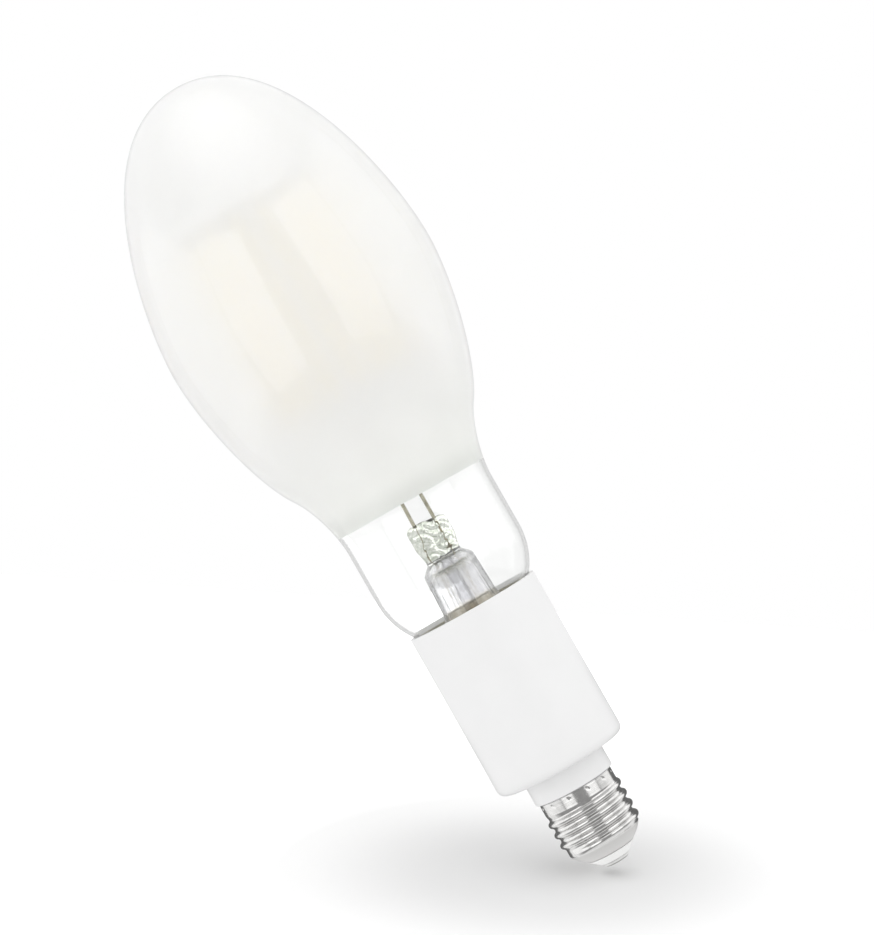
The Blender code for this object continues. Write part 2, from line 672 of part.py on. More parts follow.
def make_board_wire(side, sign, lamp, finishes):
    """Thin wire from the press down to its pad, with a sleeve over its lower half."""
    sleeve_bore = SEAL_WIRE_RADIUS + SEAT_GAP
    sleeve_radius = sleeve_bore + SLEEVE_WALL
    start_x = sign * LEAD_X
    bend_x = sign * (EXHAUST_TUBE_RADIUS + WIRE_BEND_CLEARANCE + sleeve_radius)
    pad_x = sign * WIRE_PAD_SPACING / 2.0
    sleeve_y = -(BOARD_FACE + sleeve_radius)
    wire_y = -(BOARD_FACE + SEAL_WIRE_RADIUS)
    bend_z = FLARE_TOP_Z
    pad_z = BOARD_TOP_Z - WIRE_PAD_DROP
    straight = [(start_x, 0.0, SOCKET_Z), (start_x, 0.0, HOLLOW_TOP_Z)]
    fall = [(bend_x, 0.0, bend_z), (pad_x, sleeve_y, (bend_z + BOARD_TOP_Z) / 2.0 - SEAL_DEPTH)]
    landing = [(pad_x, sleeve_y, BOARD_TOP_Z), (pad_x, sleeve_y, (BOARD_TOP_Z + pad_z) / 2.0)]
    wire_route = smooth_route(straight + fall + landing + [(pad_x, wire_y, pad_z)], WIRE_ROWS)
    wire = lofted_mesh(f"seal_wire_{side}", pipe_rows(wire_route, SEAL_WIRE_RADIUS, THIN_WIRE_SIDES))
    add_object(f"seal_wire_{side}", wire, finishes["seal wire"], lamp)
    covered = wire_route[(wire_route[:, 2] < bend_z) & (wire_route[:, 2] > (BOARD_TOP_Z + pad_z) / 2.0)]
    shell = pipe_rows(covered, sleeve_radius) + pipe_rows(covered, sleeve_bore)[::-1]
    sleeve = lofted_mesh(f"wire_sleeve_{side}", shell, wrap_rows=True)
    add_object(f"wire_sleeve_{side}", sleeve, finishes["wire insulation"], lamp)


def carrier_loops(holes):
    """A ring joined to its hub by spokes: the outer circle, the windows between spokes and the holes."""
    inner_radius = CAGE_RADIUS - CARRIER_RING_WIDTH / 2.0
    loops = [circle_loop(CAGE_RADIUS + CARRIER_RING_WIDTH / 2.0, sides=GLASS_SEGMENTS)]
    sector = FULL_TURN / CARRIER_SPOKES
    for spoke in range(CARRIER_SPOKES):
        window = []
        for radius, steps in ((inner_radius, WINDOW_RIM_ROWS), (CARRIER_HUB_RADIUS, WINDOW_HUB_ROWS)):
            half_spoke = math.asin(CARRIER_SPOKE_WIDTH / 2.0 / radius)
            start = sector * (spoke + 0.5) + half_spoke
            angles = np.linspace(start, start + sector - 2.0 * half_spoke, steps)
            arc_points = [(radius * math.cos(angle), radius * math.sin(angle)) for angle in angles]
            window += arc_points if radius == inner_radius else arc_points[::-1]
        loops.append(window)
    return loops + holes


def make_carriers(lamp, finishes):
    """Spoked rings below and above the filaments, each fixed on one lead."""
    left_hole = circle_loop(LEAD_HOLE_RADIUS, (-LEAD_X, 0.0))
    bushing_hole = circle_loop(BUSHING_HOLE_RADIUS, (LEAD_X, 0.0))
    right_hole = circle_loop(LEAD_HOLE_RADIUS, (LEAD_X, 0.0))
    carriers = (
        ("lower_carrier", [left_hole, bushing_hole], LOWER_CARRIER_Z),
        ("upper_carrier", [right_hole], UPPER_CARRIER_Z),
    )
    for name, holes, height in carriers:
        mesh = plate_mesh(name, carrier_loops(holes), CARRIER_THICKNESS)
        carrier = add_object(name, mesh, finishes["carrier steel"], lamp)
        carrier.location = (0.0, 0.0, height)


def make_bushing(lamp, finishes):
    """Ceramic bush that leads the right wire through the lower carrier."""
    seat_z = LOWER_CARRIER_Z + CARRIER_THICKNESS + SEAT_GAP
    flange_radius = BUSHING_HOLE_RADIUS + BUSHING_FLANGE_WIDTH
    outline = [
        (LEAD_HOLE_RADIUS, seat_z + BUSHING_FLANGE_THICKNESS),
        (flange_radius, seat_z + BUSHING_FLANGE_THICKNESS),
        (flange_radius, seat_z),
        (BUSHING_RADIUS, seat_z),
        (BUSHING_RADIUS, LOWER_CARRIER_Z - BUSHING_TAIL),
        (LEAD_HOLE_RADIUS, LOWER_CARRIER_Z - BUSHING_TAIL),
    ]
    mesh = turned_mesh("insulating_bushing", outline, SMALL_SEGMENTS)
    bushing = add_object("insulating_bushing", mesh, finishes["ceramic"], lamp)
    bushing.location = (LEAD_X, 0.0, 0.0)


def filament_mesh():
    """Light-giving strip: an oval bar with a flat metal tab at each end."""
    bar_low = TAB_LENGTH
    bar_high = FILAMENT_LENGTH - TAB_LENGTH
    tab = (TAB_WIDTH / 2.0, TAB_THICKNESS / 2.0)
    bar = (FILAMENT_WIDTH / 2.0, FILAMENT_THICKNESS / 2.0)
    lower = ((tab, 0.0), (tab, bar_low), (bar, bar_low))
    upper = ((bar, bar_high), (tab, bar_high), (tab, FILAMENT_LENGTH))
    rows = []
    for (half_width, half_depth), height in lower + upper:
        rows.append(section(half_depth, half_width, ROUND_EXPONENT, height, sides=STRIP_SIDES))
    return lofted_mesh("led_filament", rows)


def make_filaments(lamp, finishes):
    """Equal strips in a ring between the carriers."""
    mesh = filament_mesh()
    for index in range(FILAMENT_COUNT):
        angle = FULL_TURN * (index + 0.5) / FILAMENT_COUNT
        filament = add_object(f"led_filament_{index + 1:02d}", mesh, finishes["filament"], lamp)
        filament.location = (CAGE_RADIUS * math.cos(angle), CAGE_RADIUS * math.sin(angle), FILAMENT_Z)
        filament.rotation_euler = (0.0, 0.0, angle)


def make_cement(lamp, finishes):
    """Ring that fills the wedge between the rounded glass and the housing's wall."""
    centre = (SHOULDER_CENTRE_RADIUS, NECK_Z)
    radius = SHOULDER_RADIUS + SEAT_GAP
    top_angle = -math.degrees(math.asin((NECK_Z - CEMENT_TOP_Z) / radius))
    seal_angle = -math.degrees(math.asin(SHOULDER_RISE / SHOULDER_RADIUS))
    inner = arc(centre, radius, top_angle, seal_angle, CEMENT_ROWS)
    outer_radius = HOUSING_BORE - SEAT_GAP
    foot = [(inner[-1][0], CEMENT_BOTTOM_Z), (outer_radius, CEMENT_BOTTOM_Z), (outer_radius, CEMENT_TOP_Z)]
    mesh = turned_mesh("cement_ring", np.vstack((inner, foot)), GLASS_SEGMENTS)
    add_object("cement_ring", mesh, finishes["cement"], lamp)


def housing_outline():
    """Section of the moulded cup with its collar and the spigot that enters the screw shell."""
    foot_centre = (HOUSING_RADIUS - HOUSING_FOOT_ROUND, HOUSING_BASE_Z + HOUSING_FOOT_ROUND)
    foot = arc(foot_centre, HOUSING_FOOT_ROUND, 0.0, -90.0, HOUSING_FOOT_ROWS)
    bevel_drop = MOUTH_BEVEL_SLOPE * (HOUSING_WALL - HOUSING_RIM_LAND)
    step_drop = UPPER_SPIGOT_RADIUS - LOWER_SPIGOT_RADIUS
    outside = [
        (MOUTH_RADIUS, MOUTH_Z),
        (HOUSING_RADIUS - HOUSING_RIM_ROUND, MOUTH_Z),
        (HOUSING_RADIUS, MOUTH_Z - HOUSING_RIM_ROUND),
    ]
    collar = [
        (COLLAR_RADIUS, HOUSING_BASE_Z),
        (COLLAR_RADIUS, COLLAR_Z + COLLAR_CHAMFER),
        (COLLAR_RADIUS - COLLAR_CHAMFER, COLLAR_Z),
    ]
    spigot = [
        (UPPER_SPIGOT_RADIUS, COLLAR_Z),
        (UPPER_SPIGOT_RADIUS, THREAD_HIGH_Z),
        (LOWER_SPIGOT_RADIUS, THREAD_HIGH_Z - step_drop),
        (LOWER_SPIGOT_RADIUS, SPIGOT_Z),
        (SPIGOT_BORE, SPIGOT_Z),
    ]
    floor_bevel = BOARD_SIDE_CLEARANCE - SEAT_GAP
    inside = [
        (SPIGOT_BORE, HOUSING_FLOOR_Z),
        (HOUSING_BORE - floor_bevel, HOUSING_FLOOR_Z),
        (HOUSING_BORE, HOUSING_FLOOR_Z + floor_bevel),
        (HOUSING_BORE, MOUTH_Z - bevel_drop),
    ]
    return np.vstack((outside, foot, collar, spigot, inside))


def make_housing(lamp, finishes):
    """Moulded driver cup with two pairs of ribs that hold the board on edge."""
    mesh = turned_mesh("driver_housing", housing_outline(), GLASS_SEGMENTS)
    housing = add_object("driver_housing", mesh, finishes["white moulding"], lamp)
    rib_near = HOUSING_BORE - RIB_DEPTH
    rib_far = HOUSING_RADIUS - HOUSING_WALL / 2.0
    for side in (-1.0, 1.0):
        for face in (-1.0, 1.0):
            edges_x = sorted((side * rib_near, side * rib_far))
            edges_y = sorted((face * BOARD_FACE, face * (BOARD_FACE + RIB_THICKNESS)))
            corners = rectangle_loop((edges_x[0], edges_y[0]), (edges_x[1], edges_y[1]))
            height = RIB_TOP_Z - HOUSING_FLOOR_Z + HOUSING_FLOOR / 2.0
            name = f"rib_{'left' if side < 0 else 'right'}_{'front' if face < 0 else 'back'}"
            rib = make_cutter(name, plate_mesh(name, [corners], height), lamp)
            rib.location = (0.0, 0.0, HOUSING_FLOOR_Z - HOUSING_FLOOR / 2.0)
            shape_with(housing, rib, "UNION")


def thread_share(angles, heights):
    """Share of the thread's depth: 1 on the crest and 0 between turns.

    The section is two equal arcs that meet on the flank. The crest falls one pitch a turn from its
    start, and it rises out of the wall and sinks back into it over the fade angle.
    """
    half_pitch = THREAD_PITCH / 2.0
    quarter_pitch = THREAD_PITCH / 4.0
    arc_radius = (half_pitch**2 + THREAD_DEPTH**2) / (4.0 * THREAD_DEPTH)
    fade = THREAD_FADE_ANGLE / FULL_TURN
    travel = ((THREAD_START_ANGLE - angles) % FULL_TURN) / FULL_TURN
    share = np.zeros_like(heights)
    for turn in range(math.ceil(THREAD_TURNS) + 1):
        passed = travel + turn
        strength = smoothstep(passed, 0.0, fade) * smoothstep(THREAD_TURNS - passed, 0.0, fade)
        away = np.abs(heights - (THREAD_HIGH_Z - THREAD_PITCH * passed))
        crest_fall = arc_radius - np.sqrt(arc_radius**2 - np.minimum(away, quarter_pitch) ** 2)
        from_root = np.clip(half_pitch - away, 0.0, quarter_pitch)
        root_rise = arc_radius - np.sqrt(arc_radius**2 - from_root**2)
        on_crest = away < quarter_pitch
        share += strength * np.where(on_crest, 1.0 - crest_fall / THREAD_DEPTH, root_rise / THREAD_DEPTH)
    return share


def shell_base_outline():
    """The shell's outer outline without its thread: band, threaded wall and turned-in cone."""
    thread_rows = max(2, round(THREAD_LENGTH / THREAD_PITCH * THREAD_ROWS_PER_TURN))
    thread_heights = np.linspace(THREAD_HIGH_Z, THREAD_LOW_Z, thread_rows)
    step = smoothstep(thread_heights, THREAD_HIGH_Z - THREAD_PITCH / 2.0, THREAD_HIGH_Z)
    wall = np.column_stack((THREAD_ROOT_RADIUS + BAND_STEP * step, thread_heights))
    band = np.array(((BAND_RADIUS, SHELL_RIM_Z), (BAND_RADIUS, (SHELL_RIM_Z + THREAD_HIGH_Z) / 2.0)))
    share = np.linspace(0.0, 1.0, CONE_ROWS + 1)[1:, None]
    cone_top = np.array((THREAD_ROOT_RADIUS, THREAD_LOW_Z))
    cone_low = np.array((LIP_RADIUS, LIP_Z))
    outward = np.array((cone_top[1] - cone_low[1], cone_low[0] - cone_top[0]))
    outward /= np.linalg.norm(outward)
    cone = cone_top + share * (cone_low - cone_top) + 4.0 * CONE_BULGE * share * (1.0 - share) * outward
    return np.vstack((band, wall, cone))


def threaded_rows(outline):
    """Carry an outline round the axis and raise the thread on it."""
    angles = np.linspace(0.0, FULL_TURN, METAL_SEGMENTS, endpoint=False)
    spread = np.broadcast_to(angles, (len(outline), METAL_SEGMENTS))
    heights = np.broadcast_to(outline[:, 1:2], spread.shape)
    base = np.broadcast_to(outline[:, 0:1], spread.shape)
    above_cone = smoothstep(heights, THREAD_LOW_Z - THREAD_PITCH / 2.0, THREAD_LOW_Z)
    crest = THREAD_CREST_RADIUS - (shell_base_outline()[0, 0] - outline[0, 0])
    radius = base + above_cone * thread_share(spread, heights) * np.maximum(crest - base, 0.0)
    return np.stack((radius * np.cos(spread), radius * np.sin(spread), heights), axis=2)


def make_screw_shell(lamp, finishes):
    """Rolled sheet shell: the inner face is the outer one set in by the wall."""
    outline = shell_base_outline()
    outer = threaded_rows(outline)
    inner = threaded_rows(offset_outline(outline, -SHELL_WALL))
    mesh = lofted_mesh("screw_shell", np.concatenate((outer, inner[::-1])), wrap_rows=True)
    add_object("screw_shell", mesh, finishes["nickel plate"], lamp)


def height_inside_cone(radius, clearance):
    """Height, at a radius, of the line inside the shell's cone at a clearance square to it."""
    slope = CONE_HEIGHT / (THREAD_ROOT_RADIUS - LIP_RADIUS)
    return LIP_Z + (radius - LIP_RADIUS) * slope + clearance * math.hypot(1.0, slope)


def make_insulator(lamp, finishes):
    """Moulded insulator: its nose spreads out under the lip and its cup seats inside the cone."""
    bore = SHANK_RADIUS + SEAT_GAP
    nose_radius = CONTACT_RADIUS + NOSE_LAND
    shoulder_radius = LIP_RADIUS + NOSE_LAP
    shoulder_z = LIP_Z - SEAT_GAP
    neck_radius = LIP_RADIUS - SHELL_WALL - SEAT_GAP
    body_radius = THREAD_ROOT_RADIUS - SHELL_WALL - SEAT_GAP
    clear = SHELL_WALL + SEAT_GAP
    body_z = height_inside_cone(body_radius, clear)
    cup_radius = body_radius - INSULATOR_WALL
    cup_z = height_inside_cone(cup_radius, clear + INSULATOR_WALL)
    well_radius = neck_radius - INSULATOR_WALL / 2.0
    well_z = height_inside_cone(well_radius, clear + INSULATOR_WALL)
    outline = [
        (bore, NOSE_Z),
        (nose_radius, NOSE_Z),
        (shoulder_radius, shoulder_z),
        (neck_radius, shoulder_z),
        (neck_radius, height_inside_cone(neck_radius, clear)),
        (body_radius, body_z),
        (body_radius, body_z + INSULATOR_RIM),
        (cup_radius, body_z + INSULATOR_RIM),
        (cup_radius, cup_z),
        (well_radius, well_z),
        (bore, well_z),
    ]
    mesh = turned_mesh("cap_insulator", outline, METAL_SEGMENTS)
    add_object("cap_insulator", mesh, finishes["pale insulator"], lamp)


def make_contact(lamp, finishes):
    """Flat contact with a rounded edge, and the shank that passes up through the insulator."""
    edge_centre = (CONTACT_RADIUS - CONTACT_EDGE, CONTACT_EDGE)
    edge = arc(edge_centre, CONTACT_EDGE, -90.0, 0.0, CONTACT_EDGE_ROWS)
    shank_top = CONTACT_THICKNESS + SHANK_LENGTH
    head = [(CONTACT_RADIUS, CONTACT_THICKNESS), (SHANK_RADIUS, CONTACT_THICKNESS)]
    shank = [(SHANK_RADIUS, shank_top), (0.0, shank_top)]
    mesh = turned_mesh("centre_contact", np.vstack(([(0.0, 0.0)], edge, head, shank)), METAL_SEGMENTS)
    add_object("centre_contact", mesh, finishes["contact metal"], lamp)


def make_feed_wires(lamp, finishes):
    """Wires from the contact's shank and from the shell's wall up to pads on the board."""
    pad_x = FEED_PAD_SPACING / 2.0
    pad_y = -(BOARD_FACE + FEED_WIRE_RADIUS)
    pad_z = BOARD_Z + FEED_PAD_HEIGHT
    shank_end = CONTACT_THICKNESS + SHANK_LENGTH + SEAT_GAP
    under_board = HOUSING_BASE_Z - SEAT_GAP
    wall_x = LOWER_SPIGOT_RADIUS - FEED_WIRE_RADIUS
    under_spigot = SPIGOT_Z - SEAT_GAP - 2.0 * FEED_WIRE_RADIUS
    bore_x = SPIGOT_BORE - FEED_WIRE_RADIUS - FEED_WIRE_ROOM
    live_route = [
        (0.0, 0.0, shank_end),
        (0.0, 0.0, shank_end + FEED_CURVE),
        (-pad_x, pad_y, under_board),
        (-pad_x, pad_y, pad_z),
    ]
    shell_route = [
        (wall_x, 0.0, under_spigot - FEED_WIRE_RADIUS - SHELL_WIRE_LAP),
        (wall_x - SHELL_WIRE_LAP, 0.0, under_spigot - FEED_WIRE_RADIUS),
        (bore_x, 0.0, under_spigot + FEED_WIRE_RADIUS),
        (bore_x, pad_y / 2.0, SPIGOT_Z + FEED_CURVE),
        (pad_x, pad_y, under_board),
        (pad_x, pad_y, pad_z),
    ]
    for name, route in (("live_wire", live_route), ("shell_wire", shell_route)):
        mesh = lofted_mesh(name, pipe_rows(smooth_route(route, FEED_WIRE_ROWS), FEED_WIRE_RADIUS))
        add_object(name, mesh, finishes["wire insulation"], lamp)


def make_board(lamp, finishes):
    """Circuit board on edge, its sides between the housing's ribs."""
    half = BOARD_THICKNESS / 2.0
    low = (-BOARD_HALF_WIDTH, -half, BOARD_Z)
    high = (BOARD_HALF_WIDTH, half, BOARD_TOP_Z)
    block("driver_board", low, high, finishes["board laminate"], lamp, edge=BOARD_EDGE)


def make_transformer(low_z, lamp, finishes):
    """Ferrite core with two windows on the board's back, and the taped winding round its middle limb."""
    half_width = TRANSFORMER_WIDTH / 2.0
    middle = CORE_LIMB
    windows = []
    for side in (-1.0, 1.0):
        edges_x = sorted((side * middle, side * (half_width - CORE_LIMB)))
        window_low = (edges_x[0], CORE_LIMB)
        windows.append(rectangle_loop(window_low, (edges_x[1], TRANSFORMER_HEIGHT - CORE_LIMB)))
    outer = rectangle_loop((-half_width, 0.0), (half_width, TRANSFORMER_HEIGHT))
    middle_y = BOARD_FACE + TRANSFORMER_DEPTH / 2.0
    core_mesh = plate_mesh("transformer_core", [outer] + windows, CORE_DEPTH)
    core = add_object("transformer_core", core_mesh, finishes["ferrite"], lamp)
    core.rotation_euler = (math.radians(90.0), 0.0, 0.0)
    core.location = (0.0, middle_y + CORE_DEPTH / 2.0, low_z)
    coil_x = half_width - CORE_LIMB - SEAT_GAP
    coil_y = TRANSFORMER_DEPTH / 2.0
    corner = PART_EDGE * 2.0
    outline = [
        (-coil_x, -coil_y + corner), (-coil_x + corner, -coil_y), (coil_x - corner, -coil_y),
        (coil_x, -coil_y + corner), (coil_x, coil_y - corner), (coil_x - corner, coil_y),
        (-coil_x + corner, coil_y), (-coil_x, coil_y - corner),
    ]
    bore_x = middle + SEAT_GAP
    bore_y = CORE_DEPTH / 2.0 + SEAT_GAP
    bore = rectangle_loop((-bore_x, -bore_y), (bore_x, bore_y))
    coil_height = TRANSFORMER_HEIGHT - 2.0 * (CORE_LIMB + SEAT_GAP)
    coil_mesh = plate_mesh("transformer_winding", [outline, bore], coil_height)
    coil = add_object("transformer_winding", coil_mesh, finishes["winding tape"], lamp)
    coil.location = (0.0, middle_y, low_z + CORE_LIMB + SEAT_GAP)


def make_capacitor(name, radius, length, place_x, low_z, lamp, finishes):
    """Can capacitor lying against the board's front, with rolled ends and a crimp groove."""
    groove = CAPACITOR_GROOVE_HEIGHT
    outline = [
        (0.0, 0.0),
        (radius - CAPACITOR_EDGE, 0.0),
        (radius, CAPACITOR_EDGE),
        (radius, groove),
        (radius - CAPACITOR_EDGE / 2.0, groove + CAPACITOR_EDGE / 2.0),
        (radius, groove + CAPACITOR_EDGE),
        (radius, length - CAPACITOR_EDGE),
        (radius - CAPACITOR_EDGE, length),
        (0.0, length),
    ]
    mesh = turned_mesh(name, outline, SMALL_SEGMENTS)
    can = add_object(name, mesh, finishes["capacitor sleeve"], lamp)
    can.location = (place_x, -(BOARD_FACE + radius), low_z)


def make_choke(centre_z, lamp, finishes):
    """Drum choke on the board's back, its axis square to the board."""
    waist = CHOKE_RADIUS - CHOKE_WAIST_DEPTH
    outline = [
        (0.0, 0.0),
        (CHOKE_RADIUS, 0.0),
        (CHOKE_RADIUS, CHOKE_FLANGE),
        (waist, CHOKE_FLANGE),
        (waist, CHOKE_LENGTH - CHOKE_FLANGE),
        (CHOKE_RADIUS, CHOKE_LENGTH - CHOKE_FLANGE),
        (CHOKE_RADIUS, CHOKE_LENGTH),
        (0.0, CHOKE_LENGTH),
    ]
    mesh = turned_mesh("choke_coil", outline, SMALL_SEGMENTS)
    choke = add_object("choke_coil", mesh, finishes["ferrite"], lamp)
    choke.rotation_euler = (math.radians(-90.0), 0.0, 0.0)
    choke.location = (0.0, BOARD_FACE, centre_z)


def make_fuse(place_x, centre_z, lamp, finishes):
    """Fusible resistor lying across the board's front, with its two raised end caps."""
    waist = FUSE_RADIUS - FUSE_WAIST_DEPTH
    outline = [
        (0.0, 0.0),
        (FUSE_RADIUS, 0.0),
        (FUSE_RADIUS, FUSE_CAP_LENGTH),
        (waist, FUSE_CAP_LENGTH + FUSE_WAIST_DEPTH),
        (waist, FUSE_LENGTH - FUSE_CAP_LENGTH - FUSE_WAIST_DEPTH),
        (FUSE_RADIUS, FUSE_LENGTH - FUSE_CAP_LENGTH),
        (FUSE_RADIUS, FUSE_LENGTH),
        (0.0, FUSE_LENGTH),
    ]
    mesh = turned_mesh("fuse_resistor", outline, SMALL_SEGMENTS)
    fuse = add_object("fuse_resistor", mesh, finishes["resistor lacquer"], lamp)
    fuse.rotation_euler = (0.0, math.radians(90.0), 0.0)
    fuse.location = (place_x - FUSE_LENGTH / 2.0, -(BOARD_FACE + FUSE_RADIUS), centre_z)


def make_board_parts(lamp, finishes):
    """Stack the parts up each face of the board, a spacing apart, above the wire pads."""
    start_z = BOARD_Z + PAD_ROOM
    left_x = -(PART_SPACING / 2.0 + INPUT_CAPACITOR_RADIUS)
    right_x = PART_SPACING / 2.0 + max(FILM_CAPACITOR_WIDTH / 2.0, OUTPUT_CAPACITOR_RADIUS)
    radius = INPUT_CAPACITOR_RADIUS
    make_capacitor("input_capacitor", radius, INPUT_CAPACITOR_LENGTH, left_x, start_z, lamp, finishes)
    fuse_z = start_z + INPUT_CAPACITOR_LENGTH + PART_SPACING + FUSE_RADIUS
    make_fuse(left_x, fuse_z, lamp, finishes)
    film_low = (right_x - FILM_CAPACITOR_WIDTH / 2.0, -(BOARD_FACE + FILM_CAPACITOR_DEPTH), start_z)
    film_high = (right_x + FILM_CAPACITOR_WIDTH / 2.0, -BOARD_FACE, start_z + FILM_CAPACITOR_HEIGHT)
    block("film_capacitor", film_low, film_high, finishes["film capacitor case"], lamp)
    output_z = start_z + FILM_CAPACITOR_HEIGHT + PART_SPACING
    radius = OUTPUT_CAPACITOR_RADIUS
    make_capacitor("output_capacitor", radius, OUTPUT_CAPACITOR_LENGTH, right_x, output_z, lamp, finishes)
    choke_z = BOARD_Z + PART_SPACING + CHOKE_RADIUS
    make_choke(choke_z, lamp, finishes)
    transformer_z = choke_z + CHOKE_RADIUS + PART_SPACING
    make_transformer(transformer_z, lamp, finishes)
    beside = TRANSFORMER_WIDTH / 2.0 + PART_SPACING
    rectifier_low = (-beside - RECTIFIER_WIDTH, BOARD_FACE, transformer_z)
    rectifier_high = (-beside, BOARD_FACE + RECTIFIER_DEPTH, transformer_z + RECTIFIER_HEIGHT)
    block("bridge_rectifier", rectifier_low, rectifier_high, finishes["chip epoxy"], lamp)
    chip_low = (beside, BOARD_FACE, transformer_z)
    chip_high = (beside + CHIP_WIDTH, BOARD_FACE + CHIP_DEPTH, transformer_z + CHIP_HEIGHT)
    block("driver_chip", chip_low, chip_high, finishes["chip epoxy"], lamp)


def build_lamp():
    """Model the whole lamp under one empty on its axis."""
    clear_scene()
    lamp = bpy.data.objects.new("lamp_axis", None)
    bpy.context.scene.collection.objects.link(lamp)
    finishes = make_finishes()
    make_envelope(lamp, finishes)
    make_coating(lamp, finishes)
    make_stem(lamp, finishes)
    make_exhaust_tube(lamp, finishes)
    lower_end = LOWER_CARRIER_Z + CARRIER_THICKNESS + LEAD_END_STAND
    upper_end = UPPER_CARRIER_Z + CARRIER_THICKNESS + LEAD_END_STAND
    make_support_lead("support_lead_left", -LEAD_X, lower_end, lamp, finishes)
    make_support_lead("support_lead_right", LEAD_X, upper_end, lamp, finishes)
    make_board_wire("left", -1.0, lamp, finishes)
    make_board_wire("right", 1.0, lamp, finishes)
    make_carriers(lamp, finishes)
    make_bushing(lamp, finishes)
    make_filaments(lamp, finishes)
    make_cement(lamp, finishes)
    make_housing(lamp, finishes)
    make_board(lamp, finishes)
    make_board_parts(lamp, finishes)
    make_feed_wires(lamp, finishes)
    make_screw_shell(lamp, finishes)
    make_insulator(lamp, finishes)
    make_contact(lamp, finishes)


build_lamp()
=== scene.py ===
"""High-power LED lamp dressed for a studio picture.

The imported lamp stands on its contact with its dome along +Z, and -Y faces the camera. All sizes are
in metres and match the solids, so every surface below lies where its node lies.
"""
import math

import bmesh
import bpy
import numpy as np
from mathutils import Matrix, Vector


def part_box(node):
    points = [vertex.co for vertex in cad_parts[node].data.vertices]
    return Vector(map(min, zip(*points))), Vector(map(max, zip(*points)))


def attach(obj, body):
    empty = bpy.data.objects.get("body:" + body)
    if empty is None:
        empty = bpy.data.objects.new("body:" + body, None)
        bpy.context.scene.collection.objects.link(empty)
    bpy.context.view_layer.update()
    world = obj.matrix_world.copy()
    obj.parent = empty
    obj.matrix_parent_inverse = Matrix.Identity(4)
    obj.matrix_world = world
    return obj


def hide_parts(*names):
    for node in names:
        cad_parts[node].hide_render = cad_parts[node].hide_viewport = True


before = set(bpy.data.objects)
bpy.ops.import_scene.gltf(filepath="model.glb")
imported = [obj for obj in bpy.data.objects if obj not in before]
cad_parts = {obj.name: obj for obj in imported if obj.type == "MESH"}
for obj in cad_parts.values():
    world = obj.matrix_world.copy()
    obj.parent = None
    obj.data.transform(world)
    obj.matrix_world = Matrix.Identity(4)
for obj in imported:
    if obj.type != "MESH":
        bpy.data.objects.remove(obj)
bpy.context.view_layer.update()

SCENE = bpy.context.scene

FULL_TURN = 2.0 * math.pi
GAP = 0.0003
SHARP_ANGLE = math.radians(38.0)

# Bulb
GLASS_WALL = 0.0010
SEAL_Z = 0.0854
SEAL_RADIUS = 0.0152
SHOULDER_RADIUS = 0.0240
NECK_RADIUS = 0.0251
NECK_LENGTH = 0.0171
NECK_PULL = 0.0070
FILLET_RISE = 0.0227
FILLET_PULL = 0.0071
FLANK_START_RADIUS = 0.0318
FLANK_LEAN = 0.68
FLANK_RISE = 0.0512
FLANK_PULL = 0.0128
BULB_RADIUS = 0.0449
BELLY_PULL_LOW = 0.0152
BELLY_PULL_HIGH = 0.0202
DOME_RISE = 0.0771
CROWN_PULL = 0.0344
COAT_THICKNESS = 0.0004
COAT_LAP = 0.00003
COAT_EDGE_Z = 0.1279
COAT_EDGE_WANDER = 0.00018
COAT_HEM = 0.009
COAT_GREY_Z = 0.165
SHOULDER_CENTRE = NECK_RADIUS - SHOULDER_RADIUS
SHOULDER_RISE = math.sqrt(SHOULDER_RADIUS**2 - (SEAL_RADIUS - SHOULDER_CENTRE) ** 2)
NECK_Z = SEAL_Z + SHOULDER_RISE

# Housing
MOUTH_Z = 0.0903
HOUSING_BASE_Z = 0.0344
COLLAR_Z = 0.0268
FLOOR_Z = 0.0366
HOUSING_WALL = 0.0015
MOUTH_CLEARANCE = 0.0004
RIM_LAND = 0.0011
COLLAR_RADIUS = 0.0134
UPPER_SPIGOT_RADIUS = 0.0118
LOWER_SPIGOT_RADIUS = 0.01145
SPIGOT_BORE = 0.00985
SPIGOT_Z = 0.0153
RIB_DEPTH = 0.0028
RIB_THICKNESS = 0.0015
RIB_TOP_Z = 0.0821
BOARD_FACE = 0.0011
MOUTH_BEVEL = 0.0012
GLASS_AT_MOUTH = SHOULDER_CENTRE + math.sqrt(SHOULDER_RADIUS**2 - (NECK_Z - MOUTH_Z) ** 2)
HOUSING_RADIUS = GLASS_AT_MOUTH + MOUTH_CLEARANCE + RIM_LAND
HOUSING_BORE = HOUSING_RADIUS - HOUSING_WALL
CEMENT_SLUMP = 0.0015
CEMENT_FOOT = 0.0030
DARK_BAND_DROP = 0.0019

# Cap
THREAD_LOW_Z = 0.0082
THREAD_HIGH_Z = 0.0227
SHELL_RIM_Z = 0.0265
THREAD_CREST_RADIUS = 0.01315
THREAD_DEPTH = 0.0011
THREAD_PITCH = 0.003629
THREAD_TURNS = 3.9
THREAD_START = math.radians(150.0)
THREAD_FADE = 0.25
BAND_RADIUS = 0.0124
SHELL_WALL = 0.0003
LIP_Z = 0.0040
LIP_RADIUS = 0.0078
CONE_BULGE = 0.0004
DIMPLES = 12
DIMPLE_Z = 0.0253
DIMPLE_DEPTH = 0.00026
DIMPLE_WIDTH = 0.00028
DIMPLE_HEIGHT = 0.00040
NOSE_RADIUS = 0.0049
NOSE_Z = 0.00125
NOSE_LAP = 0.0002
INSULATOR_BORE = 0.0017
INSULATOR_WALL = 0.0018
CUP_HEIGHT = 0.0024
CONTACT_FACE_RADIUS = 0.0037
CONTACT_RADIUS = 0.0046
CONTACT_EDGE_Z = 0.0011
CONTACT_THICKNESS = 0.0012
SHANK_RADIUS = 0.0014
SHANK_TOP_Z = 0.0068

